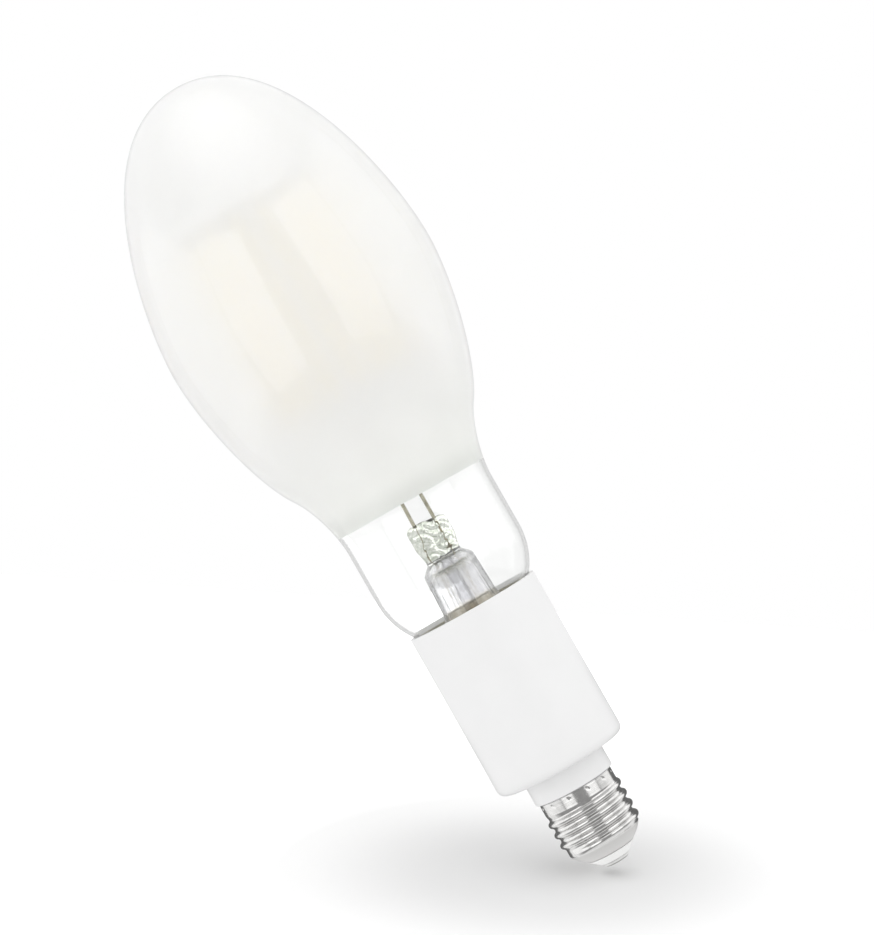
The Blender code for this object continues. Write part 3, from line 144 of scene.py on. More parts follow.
# Stem
STEM_WALL = 0.0013
FLARE_RADIUS = 0.0142
FLARE_RISE = 0.0058
TUBE_RADIUS = 0.0091
TUBE_TOP_RADIUS = 0.0086
TUBE_TOP_Z = 0.1042
PRESS_Z = 0.1080
PRESS_TOP_Z = 0.1202
PRESS_HALF_WIDTH = 0.0067
PRESS_HALF_DEPTH = 0.0026
PRESS_CORNER = 0.0020
PRESS_WAIST = 0.0009
PRESS_WAIST_RISE = 0.0055
PRESS_RIPPLE = 0.00022
PRESS_SQUARENESS = 3.4
PRESS_DIP = 0.0010
PRESS_DIP_X = 0.0019
PRESS_DIP_WIDTH = 0.0012
PRESS_STEP = 0.0007
TUBE_STREAK = 0.00004
HOLLOW_TOP_Z = 0.1064
HOLLOW_LOW_Z = 0.0977
HOLLOW_TOP_WIDTH = 0.0034
HOLLOW_TOP_DEPTH = 0.0008
EXHAUST_LOW_Z = 0.0824
EXHAUST_TOP_Z = 0.1059
EXHAUST_RADIUS = 0.0021
EXHAUST_BORE = 0.0014
EXHAUST_TIP = 0.0006
EXHAUST_TAPER = 0.0022
LEAD_X = 0.0033
LEAD_RADIUS = 0.00058
LEAD_SHORT = 0.0014
SEAL_WIRE_RADIUS = 0.00016
BEAD_Z = 0.1096
BEAD_LENGTH = 0.0008
# Side, place of its lead, lean of its foot and thickness of its bead
SEALED_WIRES = (("left", -LEAD_X, -0.0009, 0.00022), ("right", LEAD_X, -0.0002, 0.00075))

# Picture
PICTURE_TILT = math.radians(29.7)
PICTURE_RIGHT = Vector((math.cos(PICTURE_TILT), 0.0, -math.sin(PICTURE_TILT)))
PICTURE_UP = Vector((math.sin(PICTURE_TILT), 0.0, math.cos(PICTURE_TILT)))
TO_CAMERA = Vector((0.0, -1.0, 0.0))
CAMERA_DISTANCE = 0.9
CAMERA_AIM = (0.0117, 0.0, 0.1323)
PICTURE_HEIGHT = 0.287
SENSOR = 36.0
WHITE = (1.0, 1.0, 1.0)

# Light: what matt and glossy rays see of the world
FILL = 0.90
ROOM = 0.35
ROOM_IN_GLASS = 0.68
GROUND = 0.92

# Floor
FLOOR_PITCH = math.radians(10.0)
FLOOR_TONE = 0.86
FLOOR_SHADOW_TONE = 0.70
FLOOR_SHADOW_REACH = 0.030
FLOOR_EVENNESS = 20.0
FLOOR_LIFT = 0.06
FLOOR_LIFT_START = 0.085
FLOOR_LIFT_END = 0.22

# Panels of light: name, azimuth, elevation, distance, width, height, strength, feathered share
PANELS = (
    ("panel_left", -35.0, 8.0, 0.9, 0.68, 0.95, 1.50, 0.20),
    ("panel_right", 42.0, 8.0, 0.9, 0.72, 0.95, 1.50, 0.20),
    ("panel_far_left", -90.0, 8.0, 0.9, 1.40, 1.0, 1.25, 0.28),
    ("panel_far_right", 95.0, 8.0, 0.9, 1.31, 1.0, 1.28, 0.35),
    ("panel_top", 40.0, 76.0, 1.0, 1.9, 1.9, 1.6, 0.9),
)


def smooth_rise(value, low, high):
    """0 below low and 1 above high, with the cubic 3s^2 - 2s^3 of the share s between them."""
    share = np.clip((value - low) / (high - low), 0.0, 1.0)
    return share * share * (3.0 - 2.0 * share)


def cubic(start, start_pull, end_pull, end, rows):
    """Cubic curve: (1-s)^3 start + 3(1-s)^2 s pull + 3(1-s) s^2 pull + s^3 end, for s from 0 to 1."""
    s = np.linspace(0.0, 1.0, rows)[:, None]
    r = 1.0 - s
    return r**3 * start + 3.0 * r**2 * s * start_pull + 3.0 * r * s**2 * end_pull + s**3 * end


def ring_arc(centre, radius, start, end, rows):
    """Points at centre + radius (cos a, sin a), for a in equal steps between two angles in degrees."""
    a = np.radians(np.linspace(start, end, rows))
    return np.column_stack((centre[0] + radius * np.cos(a), centre[1] + radius * np.sin(a)))


def rounded(corners, cut, steps=5):
    """A polyline whose inner corners become parabolas: each starts and ends cut away from its corner.

    For a corner C between A and B the points are (1-s)^2 P + 2(1-s) s C + s^2 Q, with P and Q on the
    two sides, at most 0.45 of a side away.
    """
    p = np.asarray(corners, float)
    cut = np.broadcast_to(cut, len(p) - 2)[:, None]
    back, ahead = p[:-2] - p[1:-1], p[2:] - p[1:-1]
    back_length = np.linalg.norm(back, axis=1)[:, None]
    ahead_length = np.linalg.norm(ahead, axis=1)[:, None]
    entry = p[1:-1] + back / back_length * np.minimum(cut, 0.45 * back_length)
    leave = p[1:-1] + ahead / ahead_length * np.minimum(cut, 0.45 * ahead_length)
    s = np.linspace(0.0, 1.0, steps)[None, :, None]
    bend = (1.0 - s) ** 2 * entry[:, None] + 2.0 * (1.0 - s) * s * p[1:-1, None] + s**2 * leave[:, None]
    return np.vstack((p[:1], bend.reshape(-1, 2), p[-1:]))


def even_rows(outline, step):
    """The same polyline with points added by straight interpolation, none further apart than step."""
    lengths = np.linalg.norm(np.diff(outline, axis=0), axis=1)
    counts = np.maximum(1, np.ceil(lengths / step).astype(int))
    place = np.concatenate([np.arange(c) / c + i for i, c in enumerate(counts)] + [[len(outline) - 1.0]])
    index = np.arange(len(outline))
    return np.column_stack((np.interp(place, index, outline[:, 0]), np.interp(place, index, outline[:, 1])))


def beside(outline, distance):
    """The outline moved along its own normals; for one that falls from the axis, outwards is positive."""
    along = np.gradient(outline, axis=0)
    along /= np.maximum(np.linalg.norm(along, axis=1), 1e-12)[:, None]
    moved = outline + distance * np.column_stack((-along[:, 1], along[:, 0]))
    moved[outline[:, 0] == 0.0, 0] = 0.0
    return moved


def cut_at(outline, height):
    """The part of a falling outline above a height, ended exactly there."""
    kept = outline[outline[:, 1] > height]
    high, low = outline[len(kept) - 1], outline[len(kept)]
    return np.vstack((kept, high + (high[1] - height) / (high[1] - low[1]) * (low - high)))


def angles(count):
    """Equal angles once round the axis."""
    return np.linspace(0.0, FULL_TURN, count, endpoint=False)


def turned(outline, segments):
    """Surface of revolution: point (radius cos a, radius sin a, height) for each outline row and angle a."""
    a = angles(segments)
    radius, height = outline[:, 0:1], outline[:, 1:2]
    return np.stack((radius * np.cos(a), radius * np.sin(a), height + 0.0 * a), axis=2)


def grid_faces(rows, sides, first, wrap):
    """Quads of a grid that closes round its sides, and round its rows too where wrap is set."""
    row = np.arange(rows if wrap else rows - 1)[:, None]
    side = np.arange(sides)[None, :]
    after, below = (side + 1) % sides, (row + 1) % rows
    here, there = row * sides, below * sides
    quads = np.stack((here + side, here + after, there + after, there + side), axis=2)
    return quads.reshape(-1, 4) + first


def surface(name, grids, finish_name, nodes):
    """One piece from grids of rows, sides and xyz, on the slot of its finish.

    A grid marked "wrap" closes on itself along its rows; one marked "caps" is closed at both ends by
    a fan to the middle of its end row, which is the pole where that row has no width.
    """
    points, faces, count = [], [], 0
    for grid, ending in grids:
        rows, sides = grid.shape[:2]
        points.append(grid.reshape(-1, 3))
        faces += grid_faces(rows, sides, count, ending == "wrap").tolist()
        if ending == "caps":
            last, middle = count + (rows - 1) * sides, count + rows * sides
            points.append(np.stack((grid[0].mean(axis=0), grid[-1].mean(axis=0))))
            faces += [(middle, count + (i + 1) % sides, count + i) for i in range(sides)]
            faces += [(middle + 1, last + i, last + (i + 1) % sides) for i in range(sides)]
            count += 2
        count += rows * sides
    mesh = bpy.data.meshes.new(name)
    mesh.from_pydata(np.vstack(points), [], faces)
    weld(mesh)
    mesh.materials.append(FINISHES[finish_name])
    mesh.shade_smooth()
    mesh.set_sharp_from_angle(angle=SHARP_ANGLE)
    piece = bpy.data.objects.new(name, mesh)
    SCENE.collection.objects.link(piece)
    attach(piece, "root")
    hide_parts(*nodes)


def weld(mesh):
    """Merge points that coincide, drop faces with no area and turn every face outwards."""
    shape = bmesh.new()
    shape.from_mesh(mesh)
    bmesh.ops.remove_doubles(shape, verts=shape.verts, dist=1e-7)
    bmesh.ops.dissolve_degenerate(shape, edges=shape.edges, dist=1e-8)
    bmesh.ops.recalc_face_normals(shape, faces=shape.faces)
    shape.to_mesh(mesh)
    shape.free()


def tube_along(route, radius, sides):
    """Tube: for each route point P with frame U, V square to the travel, P + r (cos a U + sin a V)."""
    travel = np.gradient(route, axis=0)
    travel /= np.linalg.norm(travel, axis=1)[:, None]
    across = np.cross(travel, (0.0, 1.0, 0.0))
    across /= np.linalg.norm(across, axis=1)[:, None]
    upright = np.cross(travel, across)
    a = angles(sides)[None, :, None]
    ring = np.cos(a) * across[:, None] + np.sin(a) * upright[:, None]
    return route[:, None] + radius[:, None, None] * ring


# Shader helpers

def add(tree, kind, inputs=None, **settings):
    """A shader node with its settings, whose inputs are given as plain values or as sockets to link."""
    made = tree.nodes.new("ShaderNode" + kind)
    for name, value in settings.items():
        setattr(made, name, value)
    for name, value in (inputs or {}).items():
        socket = made.inputs[name]
        if isinstance(value, bpy.types.NodeSocket):
            tree.links.new(value, socket)
        elif socket.type == "RGBA":
            socket.default_value = (*value, 1.0)
        else:
            socket.default_value = value
    return made


def feed(node, **sockets):
    """Link each socket to the node's input of that name, where _ stands for a space."""
    for label, socket in sockets.items():
        node.id_data.links.new(socket, node.inputs[label.replace("_", " ")])


def calc(tree, operation, first, second=0.0, clamp=False):
    """The result of a Math node."""
    return add(tree, "Math", {0: first, 1: second}, operation=operation, use_clamp=clamp).outputs[0]


def ramp(tree, value, low, high, start=0.0, end=1.0, bend="SMOOTHSTEP"):
    """A value carried from low..high to start..end, and held beyond them."""
    inputs = {"Value": value, "From Min": low, "From Max": high, "To Min": start, "To Max": end}
    return add(tree, "MapRange", inputs, interpolation_type=bend).outputs[0]


def mixed(tree, share, first, second, kind="RGBA"):
    """Two colours, or two numbers where kind is FLOAT, mixed by the share of the second."""
    return add(tree, "Mix", {"Factor": share, "A": first, "B": second}, data_type=kind).outputs["Result"]


def place_on(tree):
    """The place on the piece, measured from the lamp's tip."""
    return add(tree, "TexCoord").outputs["Object"]


def height_on(tree):
    """Height of the place on the piece."""
    return add(tree, "SeparateXYZ", {0: place_on(tree)}).outputs["Z"]


def group(name, inputs, outputs):
    """An empty shader group with its inputs' usual values; returns its tree and its two end nodes."""
    tree = bpy.data.node_groups.new(name, "ShaderNodeTree")
    for label, value in inputs.items():
        kind = "NodeSocketColor" if isinstance(value, tuple) else "NodeSocketFloat"
        tree.interface.new_socket(label, in_out="INPUT", socket_type=kind).default_value = value
    for label, kind in outputs.items():
        tree.interface.new_socket(label, in_out="OUTPUT", socket_type="NodeSocket" + kind)
    return tree, tree.nodes.new("NodeGroupInput").outputs, tree.nodes.new("NodeGroupOutput")


def tone_group():
    """Uneven tone: two colours mixed by soft noise, stretched along the lamp's axis by Stretch."""
    usual = {"Light": (1, 1, 1, 1), "Dark": (0, 0, 0, 1), "Scale": 100.0, "Stretch": 1.0}
    tree, given, result = group("uneven tone", usual, {"Colour": "Color", "Mask": "Float"})
    size = add(tree, "CombineXYZ", {"X": 1.0, "Y": 1.0, "Z": calc(tree, "DIVIDE", 1.0, given["Stretch"])})
    scaled = add(tree, "VectorMath", {0: place_on(tree), 1: size.outputs[0]}, operation="MULTIPLY")
    noise = add(tree, "TexNoise",
                {"Vector": scaled.outputs[0], "Scale": given["Scale"], "Detail": 4.0, "Roughness": 0.55})
    mask = ramp(tree, noise.outputs["Fac"], 0.32, 0.68, bend="LINEAR")
    feed(result, Colour=mixed(tree, mask, given["Dark"], given["Light"]), Mask=mask)
    return tree


def grain_group():
    """Moulded grain: fine noise plus a share of slow waviness, as one height."""
    usual = {"Scale": 3000.0, "Waviness": 0.3}
    tree, given, result = group("moulded grain", usual, {"Height": "Float", "Roughness share": "Float"})
    place = place_on(tree)
    fine = add(tree, "TexNoise", {"Vector": place, "Scale": given["Scale"], "Detail": 2.0}).outputs["Fac"]
    slow_scale = calc(tree, "MULTIPLY", given["Scale"], 0.03)
    slow = add(tree, "TexNoise", {"Vector": place, "Scale": slow_scale, "Detail": 1.0}).outputs["Fac"]
    both = calc(tree, "ADD", fine, calc(tree, "MULTIPLY", slow, given["Waviness"]))
    feed(result, Height=both, Roughness_share=fine)
    return tree


def turning_group():
    """Turning marks: noise that varies with height and distance from the axis but hardly round it."""
    usual = {"Scale": 4000.0, "Low": 0.1, "High": 0.3}
    tree, given, result = group("turning marks", usual, {"Height": "Float", "Roughness": "Float"})
    parts = add(tree, "SeparateXYZ", {0: place_on(tree)}).outputs
    flat = add(tree, "CombineXYZ", {"X": parts["X"], "Y": parts["Y"], "Z": 0.0}).outputs[0]
    away = add(tree, "VectorMath", {0: flat}, operation="LENGTH").outputs["Value"]
    drift = add(tree, "VectorMath", {0: flat, "Scale": 0.02}, operation="SCALE").outputs[0]
    marks = add(tree, "CombineXYZ", {"X": away, "Y": 0.0, "Z": parts["Z"]}).outputs[0]
    joined = add(tree, "VectorMath", {0: marks, 1: drift}, operation="ADD").outputs[0]
    noise = add(tree, "TexNoise", {"Vector": joined, "Scale": given["Scale"], "Detail": 3.0}).outputs["Fac"]
    feed(result, Height=noise,
         Roughness=ramp(tree, noise, 0.3, 0.7, given["Low"], given["High"], "LINEAR"))
    return tree


def swirl_group():
    """Pressed swirls: contour lines of warped noise, as folds in squeezed glass."""
    usual = {"Scale": 200.0, "Lines": 10.0, "Width": 0.2}
    tree, given, result = group("pressed swirls", usual, {"Mask": "Float"})
    noise = add(tree, "TexNoise",
                {"Vector": place_on(tree), "Scale": given["Scale"], "Detail": 1.0, "Distortion": 1.2})
    spread = calc(tree, "MULTIPLY", noise.outputs["Fac"], given["Lines"])
    fold = calc(tree, "PINGPONG", spread, 0.5)
    feed(result, Mask=ramp(tree, fold, 0.0, given["Width"], 1.0, 0.0))
    return tree


TONE = tone_group()
GRAIN = grain_group()
TURNING = turning_group()
SWIRL = swirl_group()


def finish(name, **plain):
    """A material with its Principled shader; plain holds the numbers that are the same all over."""
    material = bpy.data.materials.new(name)
    material.use_nodes = True
    tree = material.node_tree
    shader = tree.nodes["Principled BSDF"]
    for label, value in plain.items():
        shader.inputs[label.replace("_", " ")].default_value = value
    return material, tree, shader


def shared(tree, group_tree, **values):
    """The outputs of a shared group that is given these values."""
    return add(tree, "Group", values, node_tree=group_tree).outputs


def toned(tree, shader, light, dark, scale, stretch=1.0):
    """Feed the shader's colour from the uneven tone group."""
    tone = shared(tree, TONE, Light=light, Dark=dark, Scale=scale, Stretch=stretch)
    feed(shader, Base_Color=tone["Colour"])
    return tone


def bumped(tree, shader, height, distance, strength=1.0):
    """Feed the shader's normal from a height through a Bump node."""
    bump = add(tree, "Bump", {"Height": height, "Distance": distance, "Strength": strength})
    feed(shader, Normal=bump.outputs[0])


def plain_finish(name, light, dark, scale, roughness, grain=3000.0, depth=0.00002, spread=0.12):
    """Moulded, painted or wound finish: uneven tone, grain bump and a roughness that follows the grain."""
    material, tree, shader = finish(name)
    toned(tree, shader, light, dark, scale)
    grained = shared(tree, GRAIN, Scale=grain)
    rough = ramp(tree, grained["Roughness share"], 0.0, 1.0, roughness - spread, roughness + spread, "LINEAR")
    feed(shader, Roughness=rough)
    bumped(tree, shader, grained["Height"], depth)
    return material


def turned_metal(name, light, dark, low, high):
    """Turned or drawn metal: uneven tone with turning marks in roughness, between low and high, and bump."""
    material, tree, shader = finish(name, Metallic=1.0)
    toned(tree, shader, light, dark, 500.0)
    marks = shared(tree, TURNING, Scale=3000.0, Low=low, High=high)
    feed(shader, Roughness=marks["Roughness"])
    bumped(tree, shader, marks["Height"], 0.00001)
    return material


def pass_straight(tree, shader):
    """Light that has left a matt surface passes the glass straight, so what lies behind it is lit evenly."""
    path = add(tree, "LightPath").outputs
    lit = calc(tree, "MAXIMUM", calc(tree, "GREATER_THAN", path["Diffuse Depth"], 0.5), path["Is Shadow Ray"])
    clear = add(tree, "BsdfTransparent", {"Color": (0.96, 0.96, 0.96)})
    both = add(tree, "MixShader", {"Fac": lit, 1: shader.outputs[0], 2: clear.outputs[0]})
    feed(tree.nodes["Material Output"], Surface=both.outputs[0])


def turning_away(tree):
    """0 where the surface faces the eye, rising to 1 where it is seen edge on."""
    return add(tree, "LayerWeight", {"Blend": 0.5}).outputs["Facing"]


def blown_glass():
    """Bulb glass: a faintly streaked tint, with a painted dark rim where the wall is seen edge on, painted
    shade for the dark room seen through it.
    """
    material, tree, shader = finish("blown clear glass", Roughness=0.02, IOR=1.5, Transmission_Weight=1.0)
    tone = toned(tree, shader, WHITE, (0.99, 0.995, 0.99), 40.0, 3.0)
    # Painted shade: the colour darkens where the wall turns edge on, standing for the dark room seen through
    # it.
    rim = ramp(tree, turning_away(tree), 0.74, 1.0)
    feed(shader, Base_Color=mixed(tree, rim, tone["Colour"], (0.10, 0.105, 0.10)))
    pass_straight(tree, shader)
    return material


def stem_finish():
    """Stem glass: drawn streaks up the tube, curled greenish folds in the press and a brown foot."""
    material, tree, shader = finish("pressed stem glass", Roughness=0.05, IOR=1.5, Transmission_Weight=1.0)
    tone = toned(tree, shader, (0.93, 0.93, 0.935), (0.82, 0.82, 0.84), 1100.0, 26.0)
    swirl = shared(tree, SWIRL, Scale=95.0, Lines=10.0, Width=0.40)["Mask"]
    z = height_on(tree)
    up = ramp(tree, z, TUBE_TOP_Z + 0.001, PRESS_Z + 0.0005, bend="LINEAR")
    foot = ramp(tree, z, MOUTH_Z + 0.0002, MOUTH_Z + 0.0026, 1.0, 0.0)
    folds = mixed(tree, swirl, (0.70, 0.715, 0.665), (0.46, 0.495, 0.42))
    body = mixed(tree, up, tone["Colour"], folds)
    burnt = mixed(tree, foot, body, (0.88, 0.84, 0.76))
    # Painted shade: the colour darkens where the glass turns edge on, standing for the dark room seen through
    # it.
    rim = ramp(tree, turning_away(tree), 0.75, 1.0, bend="LINEAR")
    feed(shader, Base_Color=mixed(tree, rim, burnt, (0.66, 0.67, 0.63)))
    height = mixed(tree, up, tone["Mask"], calc(tree, "MULTIPLY", swirl, 0.45), "FLOAT")
    bumped(tree, shader, height, 0.00007, 0.8)
    pass_straight(tree, shader)
    return material


def coating():
    """White powder coat: nearly opaque, a little light passes, and it greys towards its lower edge."""
    material, tree, shader = finish("white powder coat", IOR=1.15, Transmission_Weight=0.55,
                                    Specular_IOR_Level=0.2)
    tone = toned(tree, shader, WHITE, (0.99, 0.99, 0.985), 60.0)
    z = height_on(tree)
    low = ramp(tree, z, COAT_EDGE_Z, COAT_GREY_Z, 1.0, 0.0, "LINEAR")
    hem = ramp(tree, z, COAT_EDGE_Z, COAT_EDGE_Z + COAT_HEM, 1.0, 0.0)
    colour = mixed(tree, low, tone["Colour"], (0.985, 0.99, 0.97))
    feed(shader, Base_Color=mixed(tree, hem, colour, (0.855, 0.865, 0.842)))
    grained = shared(tree, GRAIN, Scale=2500.0)
    feed(shader, Roughness=ramp(tree, grained["Roughness share"], 0.0, 1.0, 0.62, 0.72, "LINEAR"))
    bumped(tree, shader, grained["Height"], 0.00001)
    return material


def rolled_nickel():
    """Rolled nickel plate: bright on the thread, satin and a little duller on the drawn cone."""
    material, tree, shader = finish("rolled nickel plate", Metallic=1.0)
    tone = toned(tree, shader, (0.74, 0.735, 0.725), (0.66, 0.655, 0.645), 700.0)
    marks = shared(tree, TURNING, Scale=2600.0, Low=0.12, High=0.20)
    cone = ramp(tree, height_on(tree), THREAD_LOW_Z + 0.0001, THREAD_LOW_Z - 0.0006, bend="LINEAR")
    feed(shader, Roughness=mixed(tree, cone, marks["Roughness"], 0.58, "FLOAT"),
         Base_Color=mixed(tree, cone, tone["Colour"], (0.72, 0.715, 0.705)))
    bumped(tree, shader, marks["Height"], 0.000012)
    return material


def cement_finish():
    """Baking cement: grainy and pale, with a dark olive band a little below the mouth, partly the cement's
    own brown and partly painted shade of the narrow gap between glass and housing.
    """
    material, tree, shader = finish("bulb cement", Roughness=0.8)
    tone = toned(tree, shader, (0.93, 0.93, 0.90), (0.87, 0.87, 0.83), 900.0)
    # Dark olive band below the mouth: partly the cement's brown, partly painted shade of the gap beside the
    # glass.
    away = calc(tree, "ABSOLUTE", calc(tree, "SUBTRACT", height_on(tree), MOUTH_Z - DARK_BAND_DROP))
    band = ramp(tree, away, 0.0003, 0.0006, 1.0, 0.0, "LINEAR")
    feed(shader, Base_Color=mixed(tree, band, tone["Colour"], (0.22, 0.20, 0.12)))
    grained = shared(tree, GRAIN, Scale=1500.0)
    bumped(tree, shader, grained["Height"], 0.0001)
    return material


def contact_finish():
    """Tinned contact: turned metal whose lowest edge is painted dark, a painted shadow where it stands over
    the floor.
    """
    material = turned_metal("tinned contact", (0.78, 0.78, 0.77), (0.68, 0.68, 0.67), 0.30, 0.45)
    tree = material.node_tree
    shader = tree.nodes["Principled BSDF"]
    tone = shader.inputs["Base Color"].links[0].from_socket
    # Painted shadow: the colour darkens to near black on the lowest edge, in place of the floor's contact
    # shadow.
    painted_shadow_edge = ramp(tree, height_on(tree), 0.00025, 0.00045, 1.0, 0.0, "LINEAR")
    feed(shader, Base_Color=mixed(tree, painted_shadow_edge, tone, (0.30, 0.30, 0.28)))
    return material


# Plain finishes by slot: name, light and dark tone, scale of their mottling, roughness and any changes
PLAIN_FINISHES = {
    "filament": ("phosphor strip", (0.98, 0.76, 0.20), (0.96, 0.72, 0.16), 800.0, 0.5, {}),
    "ceramic": ("glazed ceramic bush", (0.88, 0.86, 0.80), (0.80, 0.78, 0.72), 900.0, 0.45, {}),
    "white_moulding": ("white moulded plastic", (0.80, 0.80, 0.80), (0.785, 0.785, 0.785), 90.0, 0.42,
                       {"grain": 3500.0, "depth": 0.00001, "spread": 0.06}),
    "pale_insulator": ("pale moulded insulator", (0.87, 0.87, 0.86), (0.84, 0.84, 0.83), 400.0, 0.4,
                       {"grain": 2500.0}),
    "board_laminate": ("green board laminate", (0.07, 0.26, 0.12), (0.05, 0.20, 0.09), 350.0, 0.45,
                       {"grain": 2200.0}),
    "ferrite": ("sintered ferrite", (0.09, 0.09, 0.10), (0.05, 0.05, 0.055), 900.0, 0.6,
                {"grain": 2600.0, "depth": 0.00005}),
    "winding_tape": ("yellow winding tape", (0.82, 0.62, 0.10), (0.74, 0.54, 0.08), 300.0, 0.4, {}),
    "capacitor_sleeve": ("shrink sleeve", (0.05, 0.06, 0.12), (0.03, 0.04, 0.08), 300.0, 0.35, {}),
    "film_capacitor_case": ("film capacitor case", (0.74, 0.52, 0.09), (0.66, 0.45, 0.07), 300.0, 0.4, {}),
    "chip_epoxy": ("black epoxy", (0.045, 0.045, 0.05), (0.03, 0.03, 0.033), 800.0, 0.5, {}),
    "resistor_lacquer": ("grey green lacquer", (0.30, 0.42, 0.36), (0.24, 0.35, 0.30), 500.0, 0.4, {}),
    "wire_insulation": ("wire insulation", (0.82, 0.80, 0.74), (0.76, 0.74, 0.68), 500.0, 0.5, {}),
}

# Turned metals by slot: name, light and dark tone, lowest and highest roughness
TURNED_METALS = {
    "nickel_wire": ("nickel support wire", (0.50, 0.48, 0.38), (0.26, 0.24, 0.18), 0.25, 0.45),
    "seal_wire": ("copper sheathed wire", (0.56, 0.50, 0.36), (0.36, 0.30, 0.20), 0.25, 0.5),
    "carrier_steel": ("stamped carrier steel", (0.62, 0.61, 0.57), (0.48, 0.47, 0.44), 0.25, 0.45),
}

FINISHES = {
    "clear_glass": blown_glass(), "stem_glass": stem_finish(), "white_coating": coating(),
    "cement": cement_finish(), "nickel_plate": rolled_nickel(), "contact_metal": contact_finish(),
}
FINISHES.update({slot: turned_metal(*values) for slot, values in TURNED_METALS.items()})
FINISHES.update({slot: plain_finish(*values[:-1], **values[-1]) for slot, values in PLAIN_FINISHES.items()})


def bulb_outline():
    """Crown to seal: dome, flank and fillet are cubic curves, and an arc closes in below the neck."""
    fillet_z = NECK_Z + NECK_LENGTH
    flank_z = fillet_z + FILLET_RISE
    belly_z = flank_z + FLANK_RISE
    down = np.array((0.0, -1.0))
    inwards = np.array((-FLANK_LEAN, -1.0)) / math.hypot(FLANK_LEAN, 1.0)
    crown, belly = np.array((0.0, belly_z + DOME_RISE)), np.array((BULB_RADIUS, belly_z))
    flank, neck = np.array((FLANK_START_RADIUS, flank_z)), np.array((NECK_RADIUS, fillet_z))
    dome = cubic(crown, crown + (CROWN_PULL, 0.0), belly - down * BELLY_PULL_HIGH, belly, 60)
    side = cubic(belly, belly + down * BELLY_PULL_LOW, flank - inwards * FLANK_PULL, flank, 34)
    fillet = cubic(flank, flank + inwards * FILLET_PULL, neck - down * NECK_PULL, neck, 22)
    straight = np.linspace(neck, (NECK_RADIUS, NECK_Z), 8)
    seal_angle = -math.degrees(math.asin(SHOULDER_RISE / SHOULDER_RADIUS))
    shoulder = ring_arc((SHOULDER_CENTRE, NECK_Z), SHOULDER_RADIUS, 0.0, seal_angle, 22)
    return np.vstack((dome, side[1:], fillet[1:], straight[1:], shoulder[1:]))


def make_bulb():
    """Blown bulb: the outline, the same outline one wall inside it, and a round lip at the seal."""
    outer = bulb_outline()
    inner = beside(outer, -GLASS_WALL)
    along = (outer[-1] - outer[-2]) / np.linalg.norm(outer[-1] - outer[-2])
    across = (outer[-1] - inner[-1]) / 2.0
    centre = (outer[-1] + inner[-1]) / 2.0 - along * GLASS_WALL / 2.0
    b = np.radians(np.linspace(0.0, 180.0, 13))[:, None]
    lip = centre + np.cos(b) * across + np.sin(b) * along * GLASS_WALL / 2.0
    profile = np.vstack((outer[:-1], lip, inner[-2::-1]))
    surface("bulb_glass", [(turned(profile, 192), "caps")], "clear_glass", ["glass_envelope"])


def make_coat():
    """Powder layer inside the glass; its lower edge wanders by a sum of three sines round the neck."""
    glass = bulb_outline()
    outer = cut_at(beside(glass, COAT_LAP - GLASS_WALL), COAT_EDGE_Z)
    inner = cut_at(beside(glass, COAT_LAP - GLASS_WALL - COAT_THICKNESS), COAT_EDGE_Z)
    grid = turned(np.vstack((outer, inner[::-1])), 192)
    a = np.arctan2(grid[..., 1], grid[..., 0])
    wander = (np.sin(3.0 * a + 0.6) + 0.7 * np.sin(7.0 * a + 2.1) + 0.5 * np.sin(17.0 * a)) / 2.2
    near = 1.0 - smooth_rise(grid[..., 2], COAT_EDGE_Z, COAT_EDGE_Z + 0.004)
    grid[..., 2] += COAT_EDGE_WANDER * (wander + 1.0) / 2.0 * near
    surface("bulb_coating", [(grid, "caps")], "white_coating", ["diffusing_coat"])


def make_housing():
    """Moulded cup: a rounded outline turned round the axis, with four upright ribs for the board."""
    outer, bore = HOUSING_RADIUS, HOUSING_BORE
    corners = [
        (bore, MOUTH_Z - MOUTH_BEVEL), (outer - RIM_LAND, MOUTH_Z), (outer, MOUTH_Z), (outer, HOUSING_BASE_Z),
        (COLLAR_RADIUS, HOUSING_BASE_Z), (COLLAR_RADIUS, COLLAR_Z), (UPPER_SPIGOT_RADIUS, COLLAR_Z),
        (UPPER_SPIGOT_RADIUS, THREAD_HIGH_Z), (LOWER_SPIGOT_RADIUS, THREAD_HIGH_Z - 0.0005),
        (LOWER_SPIGOT_RADIUS, SPIGOT_Z), (SPIGOT_BORE, SPIGOT_Z), (SPIGOT_BORE, FLOOR_Z), (bore, FLOOR_Z),
        (bore, MOUTH_Z - MOUTH_BEVEL),
    ]
    cuts = [0.0002, 0.00035, 0.0028, 0.0004, 0.0005, 0.0002, 0.0003, 0.0003, 0.0003, 0.0003, 0.0003, 0.0008]
    outline = even_rows(rounded(corners, cuts, 7), 0.004)[:-1]
    grids = [(turned(outline, 160), "wrap")]
    grids += [(rib_grid(side, face), "caps") for side in (-1.0, 1.0) for face in (-1.0, 1.0)]
    surface("lamp_housing", grids, "white_moulding", ["driver_housing"])


def rib_grid(side, face):
    """One rib: a rounded rectangle |x/a|^6 + |y/b|^6 = 1 carried up from the floor, drawn in at its top."""
    low, high = HOUSING_BORE - RIB_DEPTH, HOUSING_BORE + HOUSING_WALL / 2.0
    middle = np.array((side * (low + high) / 2.0, face * (BOARD_FACE + RIB_THICKNESS / 2.0)))
    a = angles(24)
    power = 1.0 / 3.0
    x = (high - low) / 2.0 * np.sign(np.cos(a)) * np.abs(np.cos(a)) ** power
    y = RIB_THICKNESS / 2.0 * np.sign(np.sin(a)) * np.abs(np.sin(a)) ** power
    heights = np.array((FLOOR_Z - 0.001, FLOOR_Z + 0.02, RIB_TOP_Z - 0.001, RIB_TOP_Z - 0.0002, RIB_TOP_Z))
    shrink = np.array((1.0, 1.0, 1.0, 0.95, 0.85))[:, None]
    return np.stack((middle[0] + shrink * x, middle[1] + shrink * y, heights[:, None] + 0.0 * a), axis=2)


